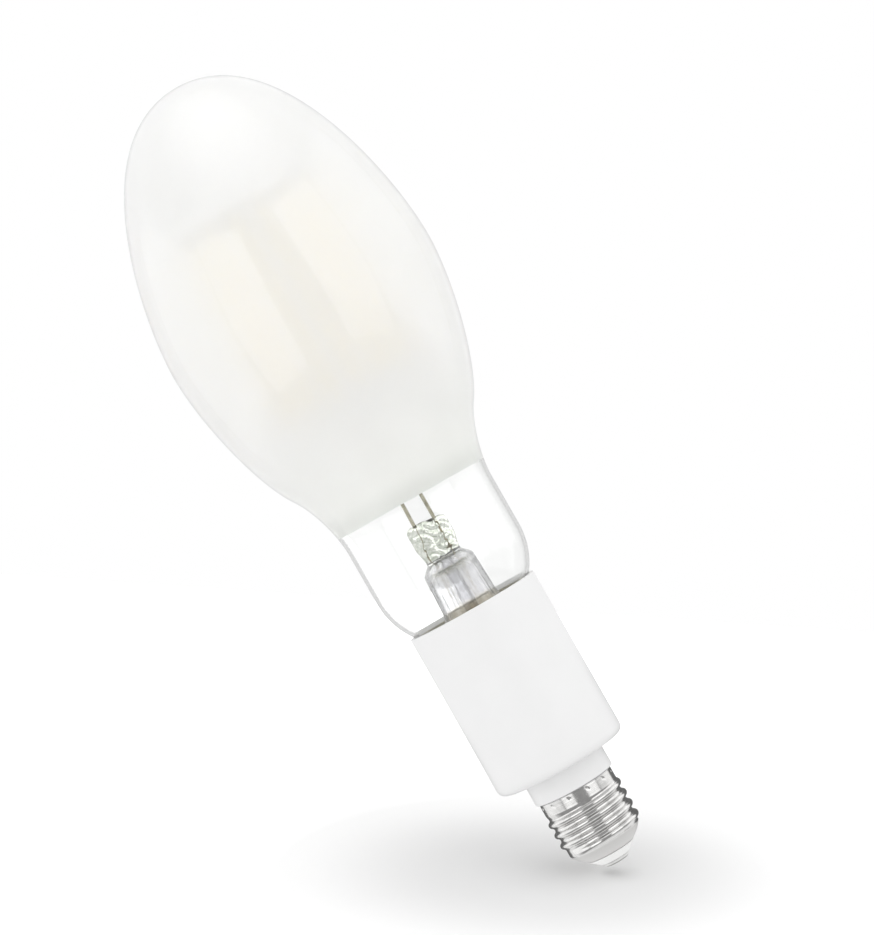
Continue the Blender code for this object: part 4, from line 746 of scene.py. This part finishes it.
def thread_share(angle, height):
    """Share of the thread's depth: two equal arcs to half a pitch, on a crest that falls one pitch a turn.

    The crest's height is start - pitch * turns passed; arcs of radius (h^2 + d^2) / 4d, with h half the
    pitch and d the depth, meet on the flank. Both ends of the thread sink into the wall over a quarter turn.
    """
    half, quarter = THREAD_PITCH / 2.0, THREAD_PITCH / 4.0
    arc = (half**2 + THREAD_DEPTH**2) / (4.0 * THREAD_DEPTH)
    travel = ((THREAD_START - angle) % FULL_TURN) / FULL_TURN
    share = np.zeros_like(height)
    for turn in range(math.ceil(THREAD_TURNS) + 1):
        passed = travel + turn
        strength = smooth_rise(np.minimum(passed, THREAD_TURNS - passed), 0.0, THREAD_FADE)
        away = np.abs(height - (THREAD_HIGH_Z - THREAD_PITCH * passed))
        crest = 1.0 - (arc - np.sqrt(arc**2 - np.minimum(away, quarter) ** 2)) / THREAD_DEPTH
        root = (arc - np.sqrt(arc**2 - np.clip(half - away, 0.0, quarter) ** 2)) / THREAD_DEPTH
        share += strength * np.where(away < quarter, crest, root)
    return share


def shell_outline(step):
    """The shell without its thread: rim, band, a small step down, threaded wall and the drawn cone."""
    root = THREAD_CREST_RADIUS - THREAD_DEPTH
    wall_z = np.arange(THREAD_HIGH_Z, THREAD_LOW_Z, -step)
    rise = smooth_rise(wall_z, THREAD_HIGH_Z - THREAD_PITCH / 2.0, THREAD_HIGH_Z)
    wall = np.column_stack((root + (BAND_RADIUS - root) * rise, wall_z))
    band_z = np.arange(SHELL_RIM_Z, THREAD_HIGH_Z, -step)
    band = np.column_stack((np.full_like(band_z, BAND_RADIUS), band_z))
    s = np.linspace(0.0, 1.0, 26)[:, None]
    top, low = np.array((root, THREAD_LOW_Z)), np.array((LIP_RADIUS, LIP_Z))
    out = np.array((top[1] - low[1], low[0] - top[0]))
    cone = top + s * (low - top) + 4.0 * CONE_BULGE * s * (1.0 - s) * out / np.linalg.norm(out)
    return np.vstack((band, wall, cone))


def threaded(outline, segments, inset):
    """Radius = base + share * (crest - base), less the staking dents: a bell curve in arc and height."""
    a = angles(segments)
    angle = np.broadcast_to(a, (len(outline), segments))
    height = np.broadcast_to(outline[:, 1:2], angle.shape)
    base = np.broadcast_to(outline[:, 0:1], angle.shape)
    above_cone = smooth_rise(height, THREAD_LOW_Z - THREAD_PITCH / 2.0, THREAD_LOW_Z)
    crest = THREAD_CREST_RADIUS - inset
    radius = base + above_cone * thread_share(angle, height) * np.maximum(crest - base, 0.0)
    pitch = FULL_TURN / DIMPLES
    off = ((angle + pitch) % pitch - pitch / 2.0) * BAND_RADIUS
    lean = off + 0.5 * (height - DIMPLE_Z)
    dent = np.exp(-(lean / DIMPLE_WIDTH) ** 2 - ((height - DIMPLE_Z) / DIMPLE_HEIGHT) ** 2)
    radius = radius - DIMPLE_DEPTH * dent
    return np.stack((radius * np.cos(a), radius * np.sin(a), height), axis=2)


def make_shell():
    """Rolled shell: the threaded outline outside, the same one sheet thickness inside, joined at its rims."""
    outer = threaded(shell_outline(0.000125), 320, 0.0)
    inner = threaded(beside(shell_outline(0.0005), -SHELL_WALL), 320, SHELL_WALL)
    grid = np.concatenate((outer, inner[::-1]))
    surface("threaded_shell", [(grid, "wrap")], "nickel_plate", ["screw_shell"])


def cone_z(radius, clearance):
    """Height at a radius of the line inside the shell's cone, at a clearance square to it."""
    slope = (THREAD_LOW_Z - LIP_Z) / (THREAD_CREST_RADIUS - THREAD_DEPTH - LIP_RADIUS)
    return LIP_Z + (radius - LIP_RADIUS) * slope + clearance * math.hypot(1.0, slope)


def make_insulator():
    """Moulded insulator: nose, neck and cup as one rounded outline turned round the axis."""
    clear = SHELL_WALL + GAP
    shoulder, shoulder_z = LIP_RADIUS + NOSE_LAP, LIP_Z - 0.0001
    neck = LIP_RADIUS - clear
    body = THREAD_CREST_RADIUS - THREAD_DEPTH - clear
    cup, well = body - INSULATOR_WALL, neck - INSULATOR_WALL / 2.0
    rim_z = cone_z(body, clear) + CUP_HEIGHT
    well_z = cone_z(well, clear + INSULATOR_WALL)
    seam = (INSULATOR_BORE, 0.0030)
    corners = [
        seam, (INSULATOR_BORE, NOSE_Z), (NOSE_RADIUS, NOSE_Z), (shoulder, shoulder_z), (neck, shoulder_z),
        (neck, cone_z(neck, clear)), (body, cone_z(body, clear)), (body, rim_z), (cup, rim_z),
        (cup, cone_z(cup, clear + INSULATOR_WALL)), (well, well_z), (INSULATOR_BORE, well_z), seam,
    ]
    outline = even_rows(rounded(corners, 0.0004, 6), 0.001)[:-1]
    surface("nose_insulator", [(turned(outline, 128), "wrap")], "pale_insulator", ["cap_insulator"])


def make_contact():
    """Pressed contact: flat face, rounded edge and the shank that passes up through the insulator."""
    corners = [
        (0.0, 0.0), (CONTACT_FACE_RADIUS, 0.0), (CONTACT_RADIUS, CONTACT_EDGE_Z),
        (CONTACT_RADIUS, CONTACT_THICKNESS), (SHANK_RADIUS, CONTACT_THICKNESS), (SHANK_RADIUS, SHANK_TOP_Z),
        (0.0, SHANK_TOP_Z),
    ]
    outline = even_rows(rounded(corners, [0.0003, 0.00005, 0.00005, 0.0002, 0.0003], 9), 0.0006)
    surface("base_contact", [(turned(outline, 96), "caps")], "contact_metal", ["centre_contact"])


def make_cement():
    """Cement between glass and housing: the glass's arc inside, the bore outside, a slumped top."""
    radius = SHOULDER_RADIUS + GAP
    top_z, low_z = MOUTH_Z - CEMENT_SLUMP, SEAL_Z - CEMENT_FOOT
    top = -math.degrees(math.asin((NECK_Z - top_z) / radius))
    low = -math.degrees(math.asin(SHOULDER_RISE / SHOULDER_RADIUS))
    inner = ring_arc((SHOULDER_CENTRE, NECK_Z), radius, top, low, 16)
    outer = HOUSING_BORE - GAP
    foot = [(inner[-1][0], low_z), (outer, low_z), (outer, top_z)]
    grid = turned(np.vstack((inner, even_rows(np.array(foot), 0.002))), 160)
    surface("cement_fill", [(grid, "wrap")], "cement", ["cement_ring"])


def oval(half_width, half_depth, exponent, height, sides):
    """Superellipse by its polar angle: radius = (|cos/a|^n + |sin/b|^n)^(-1/n), a circle at n = 2, a = b."""
    a = angles(sides)[None, :]
    half_width, half_depth, n, height = (v[:, None] for v in (half_width, half_depth, exponent, height))
    reach = (np.abs(np.cos(a) / half_width) ** n + np.abs(np.sin(a) / half_depth) ** n) ** (-1.0 / n)
    return np.stack((reach * np.cos(a), reach * np.sin(a), height + 0.0 * a), axis=2)


def flare(low_z, radius, edge_radius, a):
    """Radii and heights of a quarter arc: from its edge in to a tube's radius, rising as it closes in."""
    return radius + (edge_radius - radius) * (1.0 - np.sin(a)), low_z + FLARE_RISE * (1.0 - np.cos(a))


def stem_outside(sides):
    """Flare, tube, shoulder, press and rounded crown: superellipses that grow squarer up to the press."""
    a = np.radians(np.linspace(0.0, 90.0, 20))
    flare_r, flare_z = flare(SEAL_Z + STEM_WALL, TUBE_RADIUS, FLARE_RADIUS, a)
    tube_z = np.linspace(flare_z[-1], TUBE_TOP_Z, 40)[1:]
    tube_r = np.linspace(TUBE_RADIUS, TUBE_TOP_RADIUS, 40)[1:]
    s = np.linspace(0.0, 1.0, 26)[1:]
    blend = smooth_rise(s, 0.0, 1.0)
    shoulder_z = TUBE_TOP_Z + s * (PRESS_Z - TUBE_TOP_Z)
    press_z = np.linspace(PRESS_Z, PRESS_TOP_Z - PRESS_CORNER, 60)[1:]
    c = np.radians(np.linspace(0.0, 88.0, 20))[1:]
    inset = PRESS_CORNER * (1.0 - np.cos(c))
    crown_z = PRESS_TOP_Z - PRESS_CORNER * (1.0 - np.sin(c))
    low_waist = PRESS_HALF_WIDTH - PRESS_WAIST
    waist = low_waist + PRESS_WAIST * smooth_rise(press_z, PRESS_Z, PRESS_Z + PRESS_WAIST_RISE)
    flat = 0.0 * press_z
    width = np.concatenate((flare_r, tube_r, TUBE_TOP_RADIUS + blend * (low_waist - TUBE_TOP_RADIUS),
                            waist, PRESS_HALF_WIDTH - inset))
    depth = np.concatenate((flare_r, tube_r, TUBE_TOP_RADIUS + blend * (PRESS_HALF_DEPTH - TUBE_TOP_RADIUS),
                            PRESS_HALF_DEPTH + flat, PRESS_HALF_DEPTH - inset))
    squarer = (PRESS_SQUARENESS - 2.0) * blend
    exponent = np.concatenate((2.0 + 0.0 * flare_r, 2.0 + 0.0 * tube_r, 2.0 + squarer,
                               PRESS_SQUARENESS + flat, PRESS_SQUARENESS + 0.0 * c))
    height = np.concatenate((flare_z, tube_z, shoulder_z, press_z, crown_z))
    return oval(width, depth, exponent, height, sides)


def stem_inside(sides):
    """Bore and the hollow that narrows from it as the cube of its height, flatter than wide, at the top."""
    bore, bore_top = TUBE_RADIUS - STEM_WALL, TUBE_TOP_RADIUS - STEM_WALL
    h = np.linspace(1.0, 0.0, 40)
    hollow = oval(bore_top + h**3 * (HOLLOW_TOP_WIDTH - bore_top),
                  bore_top + h**2.2 * (HOLLOW_TOP_DEPTH - bore_top),
                  2.0 + 0.0 * h, HOLLOW_LOW_Z + h * (HOLLOW_TOP_Z - HOLLOW_LOW_Z), sides)
    low_r, low_z = flare(SEAL_Z, bore, FLARE_RADIUS, np.radians(np.linspace(0.0, 90.0, 20)))
    inner_r = np.concatenate((np.linspace(bore_top, bore, 30)[1:-1], low_r[::-1]))
    inner_z = np.concatenate((np.linspace(HOLLOW_LOW_Z, low_z[-1], 30)[1:-1], low_z[::-1]))
    return np.concatenate((hollow, oval(inner_r, inner_r, 2.0 + 0.0 * inner_r, inner_z, sides)))


def make_stem_glass():
    """Stem in one glass skin: flare, tube and flat press outside, bore and narrowing hollow inside.

    The press ripples where the jaws squeezed it: both faces move by a product of two warped sines,
    and its top edge stands in two humps, a bell-shaped dip between them. The tube's radius varies by
    a sum of two slanting sines.
    """
    sides = 216
    outer = stem_outside(sides)
    x, y, z = outer[..., 0], outer[..., 1], outer[..., 2]
    ripple = (np.sin(1500.0 * x + 2.2 * np.sin(800.0 * z + 1.0) + np.sign(y))
              * np.cos(1100.0 * z + 1.6 * np.sin(1000.0 * x + 0.5) - 0.6 * np.sign(y)))
    squeezed = smooth_rise(z, TUBE_TOP_Z + 0.001, PRESS_Z + 0.001)
    outer[..., 1] += PRESS_RIPPLE * (ripple - 1.0) * squeezed * y / PRESS_HALF_DEPTH
    turn = np.arctan2(y, x)
    streak = np.sin(9.0 * turn + 120.0 * z) + 0.6 * np.sin(17.0 * turn - 90.0 * z)
    outer[..., :2] *= (1.0 + TUBE_STREAK * (streak - 1.6) * (1.0 - squeezed) / TUBE_RADIUS)[..., None]
    crest = smooth_rise(z, PRESS_TOP_Z - 0.0045, PRESS_TOP_Z)
    dip = PRESS_DIP * np.exp(-((x - PRESS_DIP_X) / PRESS_DIP_WIDTH) ** 2)
    outer[..., 2] -= crest * (dip + PRESS_STEP * smooth_rise(x, -0.001, 0.004))
    surface("stem_glass", [(np.concatenate((stem_inside(sides), outer)), "caps")], "stem_glass",
            ["glass_stem"])


def make_exhaust():
    """Narrow tube inside the stem, drawn to a sealed tip: one closed outline turned round the axis."""
    taper_z = EXHAUST_LOW_Z + EXHAUST_TAPER
    corners = [
        (0.0, EXHAUST_LOW_Z), (EXHAUST_TIP, EXHAUST_LOW_Z), (EXHAUST_RADIUS, taper_z),
        (EXHAUST_RADIUS, EXHAUST_TOP_Z), (EXHAUST_BORE, EXHAUST_TOP_Z),
        (EXHAUST_BORE, taper_z + EXHAUST_RADIUS - EXHAUST_BORE), (0.0, taper_z),
    ]
    outline = even_rows(rounded(corners, 0.0004, 6), 0.001)
    surface("stem_inner_tube", [(turned(outline, 48), "caps")], "stem_glass", ["exhaust_tube"])


def make_leads():
    """Stout support wires: tubes up x = +-half the spacing, with soft bends of a tenth of a millimetre."""
    for side, place in (("left", -LEAD_X), ("right", LEAD_X)):
        low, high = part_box(f"support_lead_{side}")
        z = np.linspace(low.z + LEAD_SHORT, high.z, 90)
        share = (z - low.z) / (high.z - low.z)
        lift = smooth_rise(share, 0.05, 0.2) * (1.0 - smooth_rise(share, 0.6, 0.75))
        x = place + 0.00012 * lift * np.sin(9.0 * share)
        y = 0.0001 * lift * np.sin(7.0 * share + 1.0)
        over = np.clip((z - (high.z - LEAD_RADIUS)) / LEAD_RADIUS, 0.0, 0.98)
        ends = np.sqrt(1.0 - over**2)
        grid = tube_along(np.column_stack((x, y, z)), LEAD_RADIUS * ends, 24)
        surface(f"support_wire_{side}", [(grid, "caps")], "nickel_wire", [f"support_lead_{side}"])


def make_seal_wires():
    """Thin sealed wires: from each lead's foot a soft S leads down the press, with a weld bead low on it.

    The bead is a bell curve added to the wire's radius, wider on the right where the joint is burnt.
    """
    for side, place, lean, bead in SEALED_WIRES:
        low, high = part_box(f"seal_wire_{side}")
        z = np.linspace(low.z, high.z + LEAD_SHORT, 160)
        across = smooth_rise(z, BEAD_Z, high.z + LEAD_SHORT - 0.001)
        below = smooth_rise(z, BEAD_Z - 0.006, BEAD_Z - 0.0005)
        x = place + lean * below * (1.0 - across)
        y = 0.00025 * np.sin((z - low.z) * 700.0) * below * (1.0 - across)
        swell = bead * np.exp(-((z - BEAD_Z) / BEAD_LENGTH) ** 2)
        radius = SEAL_WIRE_RADIUS + swell * (1.0 + 0.2 * np.sin(5000.0 * z))
        grid = tube_along(np.column_stack((x, y, z)), radius, 16)
        surface(f"sealed_wire_{side}", [(grid, "caps")], "seal_wire", [f"seal_wire_{side}"])


# Starts of the solids' names by slot
NODES_OF_SLOT = {
    "wire_insulation": ("wire_sleeve", "live_wire", "shell_wire"),
    "carrier_steel": ("lower_carrier", "upper_carrier"), "ceramic": ("insulating_bushing",),
    "filament": ("led_filament",), "board_laminate": ("driver_board",),
    "ferrite": ("transformer_core", "choke_coil"), "winding_tape": ("transformer_winding",),
    "capacitor_sleeve": ("input_capacitor", "output_capacitor"),
    "film_capacitor_case": ("film_capacitor",), "chip_epoxy": ("bridge_rectifier", "driver_chip"),
    "resistor_lacquer": ("fuse_resistor",),
}


def dress_nodes():
    """Give each solid that stays as it is the finish of its slot."""
    for name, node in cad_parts.items():
        for slot_name, starts in NODES_OF_SLOT.items():
            if name.startswith(starts):
                for place in node.material_slots:
                    place.material = FINISHES[slot_name]


# Studio

def stage_plane(name, centre, facing, width, height, material, camera=False):
    """Flat stage panel: corners at centre +- half width and height, turned to face a direction."""
    facing = Vector(facing).normalized()
    side = facing.cross(Vector((0.0, 0.0, 1.0))).normalized()
    spin = Matrix((side, facing.cross(side), facing)).transposed()
    mesh = bpy.data.meshes.new(name)
    x, y = width / 2.0, height / 2.0
    mesh.from_pydata([(-x, -y, 0.0), (x, -y, 0.0), (x, y, 0.0), (-x, y, 0.0)], [], [(0, 1, 2, 3)])
    mesh.materials.append(material)
    panel = bpy.data.objects.new(name, mesh)
    panel.matrix_world = Matrix.Translation(centre) @ spin.to_4x4()
    SCENE.collection.objects.link(panel)
    panel.visible_camera = camera
    return panel


def stage_material(name):
    """An empty material and its tree."""
    material = bpy.data.materials.new(name)
    material.use_nodes = True
    material.node_tree.nodes.clear()
    return material, material.node_tree


def show_where(tree, share, shader):
    """End a stage material: the shader where the share is 1, and nothing at all where it is 0."""
    clear = add(tree, "BsdfTransparent")
    both = add(tree, "MixShader", {"Fac": share, 1: clear.outputs[0], 2: shader.outputs[0]})
    add(tree, "OutputMaterial", {"Surface": both.outputs[0]})


def softbox(name, azimuth, elevation, distance, width, height, strength, soft, aim_z=0.17, reach=100.0):
    """Panel of light that faces the bulb, feathered at its edges; rays longer than reach don't see it.

    Azimuth is measured round the lamp from the camera's side, to the picture's right.
    """
    material, tree = stage_material(name)
    parts = add(tree, "SeparateXYZ", {0: place_on(tree)}).outputs
    edges = []
    for axis, half in (("X", width / 2.0), ("Y", height / 2.0)):
        edges.append(ramp(tree, calc(tree, "ABSOLUTE", parts[axis]), half, half * (1.0 - soft)))
    both = calc(tree, "MULTIPLY", *edges)
    front = calc(tree, "SUBTRACT", 1.0, add(tree, "NewGeometry").outputs["Backfacing"])
    near = calc(tree, "LESS_THAN", add(tree, "LightPath").outputs["Ray Length"], reach)
    lit = calc(tree, "MULTIPLY", both, calc(tree, "MULTIPLY", front, near))
    show_where(tree, lit, add(tree, "Emission", {"Color": WHITE, "Strength": strength}))
    a, e = math.radians(azimuth), math.radians(elevation)
    way = Vector((math.sin(a) * math.cos(e), -math.cos(a) * math.cos(e), math.sin(e)))
    centre = Vector((0.0, 0.0, aim_z)) + way * distance
    panel = stage_plane(name, centre, -way, width, height, material)
    panel.visible_shadow = False
    return panel


def seen_directly(tree):
    """1 where the camera looks at a thing straight or through clear glass, 0 where light bounces off it."""
    path = add(tree, "LightPath").outputs
    bounces = calc(tree, "ADD", path["Diffuse Depth"], path["Glossy Depth"])
    through = calc(tree, "MULTIPLY", path["Is Transmission Ray"], calc(tree, "LESS_THAN", bounces, 0.5))
    return calc(tree, "MAXIMUM", path["Is Camera Ray"], through)


def make_world():
    """White where the camera, or glass in front of it, sees the world; even fill for everything matt.

    Gloss sees a dim room in front, which brightens to the white backdrop behind the lamp and to the
    pale ground below it, and light thrown about inside a glass wall sees the dark of the room.
    """
    world = bpy.data.worlds.new("studio")
    SCENE.world = world
    world.use_nodes = True
    tree = world.node_tree
    tree.nodes.clear()
    path = add(tree, "LightPath").outputs
    first = calc(tree, "LESS_THAN", path["Diffuse Depth"], 0.5)
    gloss = calc(tree, "MULTIPLY", calc(tree, "GREATER_THAN", path["Glossy Depth"], 0.5), first)
    inside = calc(tree, "GREATER_THAN", path["Transmission Depth"], 0.5)
    parts = add(tree, "SeparateXYZ", {0: add(tree, "TexCoord").outputs["Generated"]}).outputs
    room = ramp(tree, parts["Y"], -0.1, 0.4, ROOM, 1.0)
    ground = ramp(tree, parts["Z"], -0.50, -0.80, 0.0, GROUND)
    around = calc(tree, "MAXIMUM", room, ground)
    seen = mixed(tree, inside, around, ROOM_IN_GLASS, "FLOAT")
    level = mixed(tree, gloss, FILL, seen, "FLOAT")
    final = mixed(tree, seen_directly(tree), level, 1.0, "FLOAT")
    glow = add(tree, "Background", {"Color": WHITE, "Strength": final})
    add(tree, "OutputWorld", {"Surface": glow.outputs[0]})


def make_floor():
    """Pale floor square to the picture's upright, seen from 10 degrees above; only direct sight meets it.

    It is painted a little greyer round the tip, a painted shadow added to the one cast there, and fades to
    the white of the backdrop further out.
    """
    facing = PICTURE_UP * math.cos(FLOOR_PITCH) + TO_CAMERA * math.sin(FLOOR_PITCH)
    centre = PICTURE_RIGHT * -0.02 - facing * 0.004
    material, tree = stage_material("pale floor")
    place = place_on(tree)
    away = add(tree, "VectorMath", {0: place}, operation="LENGTH").outputs["Value"]
    # Painted shadow: the floor's colour greys round the tip.
    near = ramp(tree, away, FLOOR_SHADOW_REACH, FLOOR_LIFT_START, FLOOR_SHADOW_TONE, FLOOR_TONE)
    noise = add(tree, "TexNoise", {"Vector": place, "Scale": 9.0}).outputs["Fac"]
    colour = ramp(tree, noise, 0.0, FLOOR_EVENNESS, near, FLOOR_TONE, "LINEAR")
    matt = add(tree, "BsdfDiffuse", {"Color": colour})
    strength = ramp(tree, away, FLOOR_LIFT_START, FLOOR_LIFT_END, FLOOR_LIFT, 1.0, "LINEAR")
    lift = add(tree, "Emission", {"Color": WHITE, "Strength": strength})
    both = add(tree, "AddShader", {0: matt.outputs[0], 1: lift.outputs[0]})
    back = add(tree, "NewGeometry").outputs["Backfacing"]
    show_where(tree, calc(tree, "SUBTRACT", seen_directly(tree), back, clamp=True), both)
    stage_plane("studio_floor", centre, facing, 0.7, 0.7, material, camera=True)


def make_flag(name, azimuth):
    """Dark flag beside the cap: only gloss near it sees it, so the metal's edges go dark."""
    flag = softbox(name, azimuth, 0.0, 0.066, 0.062, 0.090, 0.16, 0.25, aim_z=0.014, reach=0.09)
    flag.visible_diffuse = flag.visible_transmission = False


def make_camera():
    """Long lens level with the bulb's middle, rolled so that the lamp leans as in the photograph."""
    lens = bpy.data.cameras.new("studio camera")
    lens.sensor_width = SENSOR
    lens.lens = SENSOR * CAMERA_DISTANCE / PICTURE_HEIGHT
    lens.clip_start, lens.clip_end = 0.01, 20.0
    camera = bpy.data.objects.new("studio_camera", lens)
    camera.matrix_world = (Matrix.Translation(Vector(CAMERA_AIM) + TO_CAMERA * CAMERA_DISTANCE)
                           @ Matrix((PICTURE_RIGHT, PICTURE_UP, TO_CAMERA)).transposed().to_4x4())
    SCENE.collection.objects.link(camera)
    SCENE.camera = camera


make_camera()
make_bulb()
make_coat()
make_stem_glass()
make_exhaust()
make_leads()
make_seal_wires()
make_cement()
make_housing()
make_shell()
make_insulator()
make_contact()
dress_nodes()
make_world()
make_floor()
for panel in PANELS:
    softbox(*panel)
make_flag("flag_left", -150.0)
make_flag("flag_right", 141.0)

SCENE.view_settings.view_transform = "Standard"
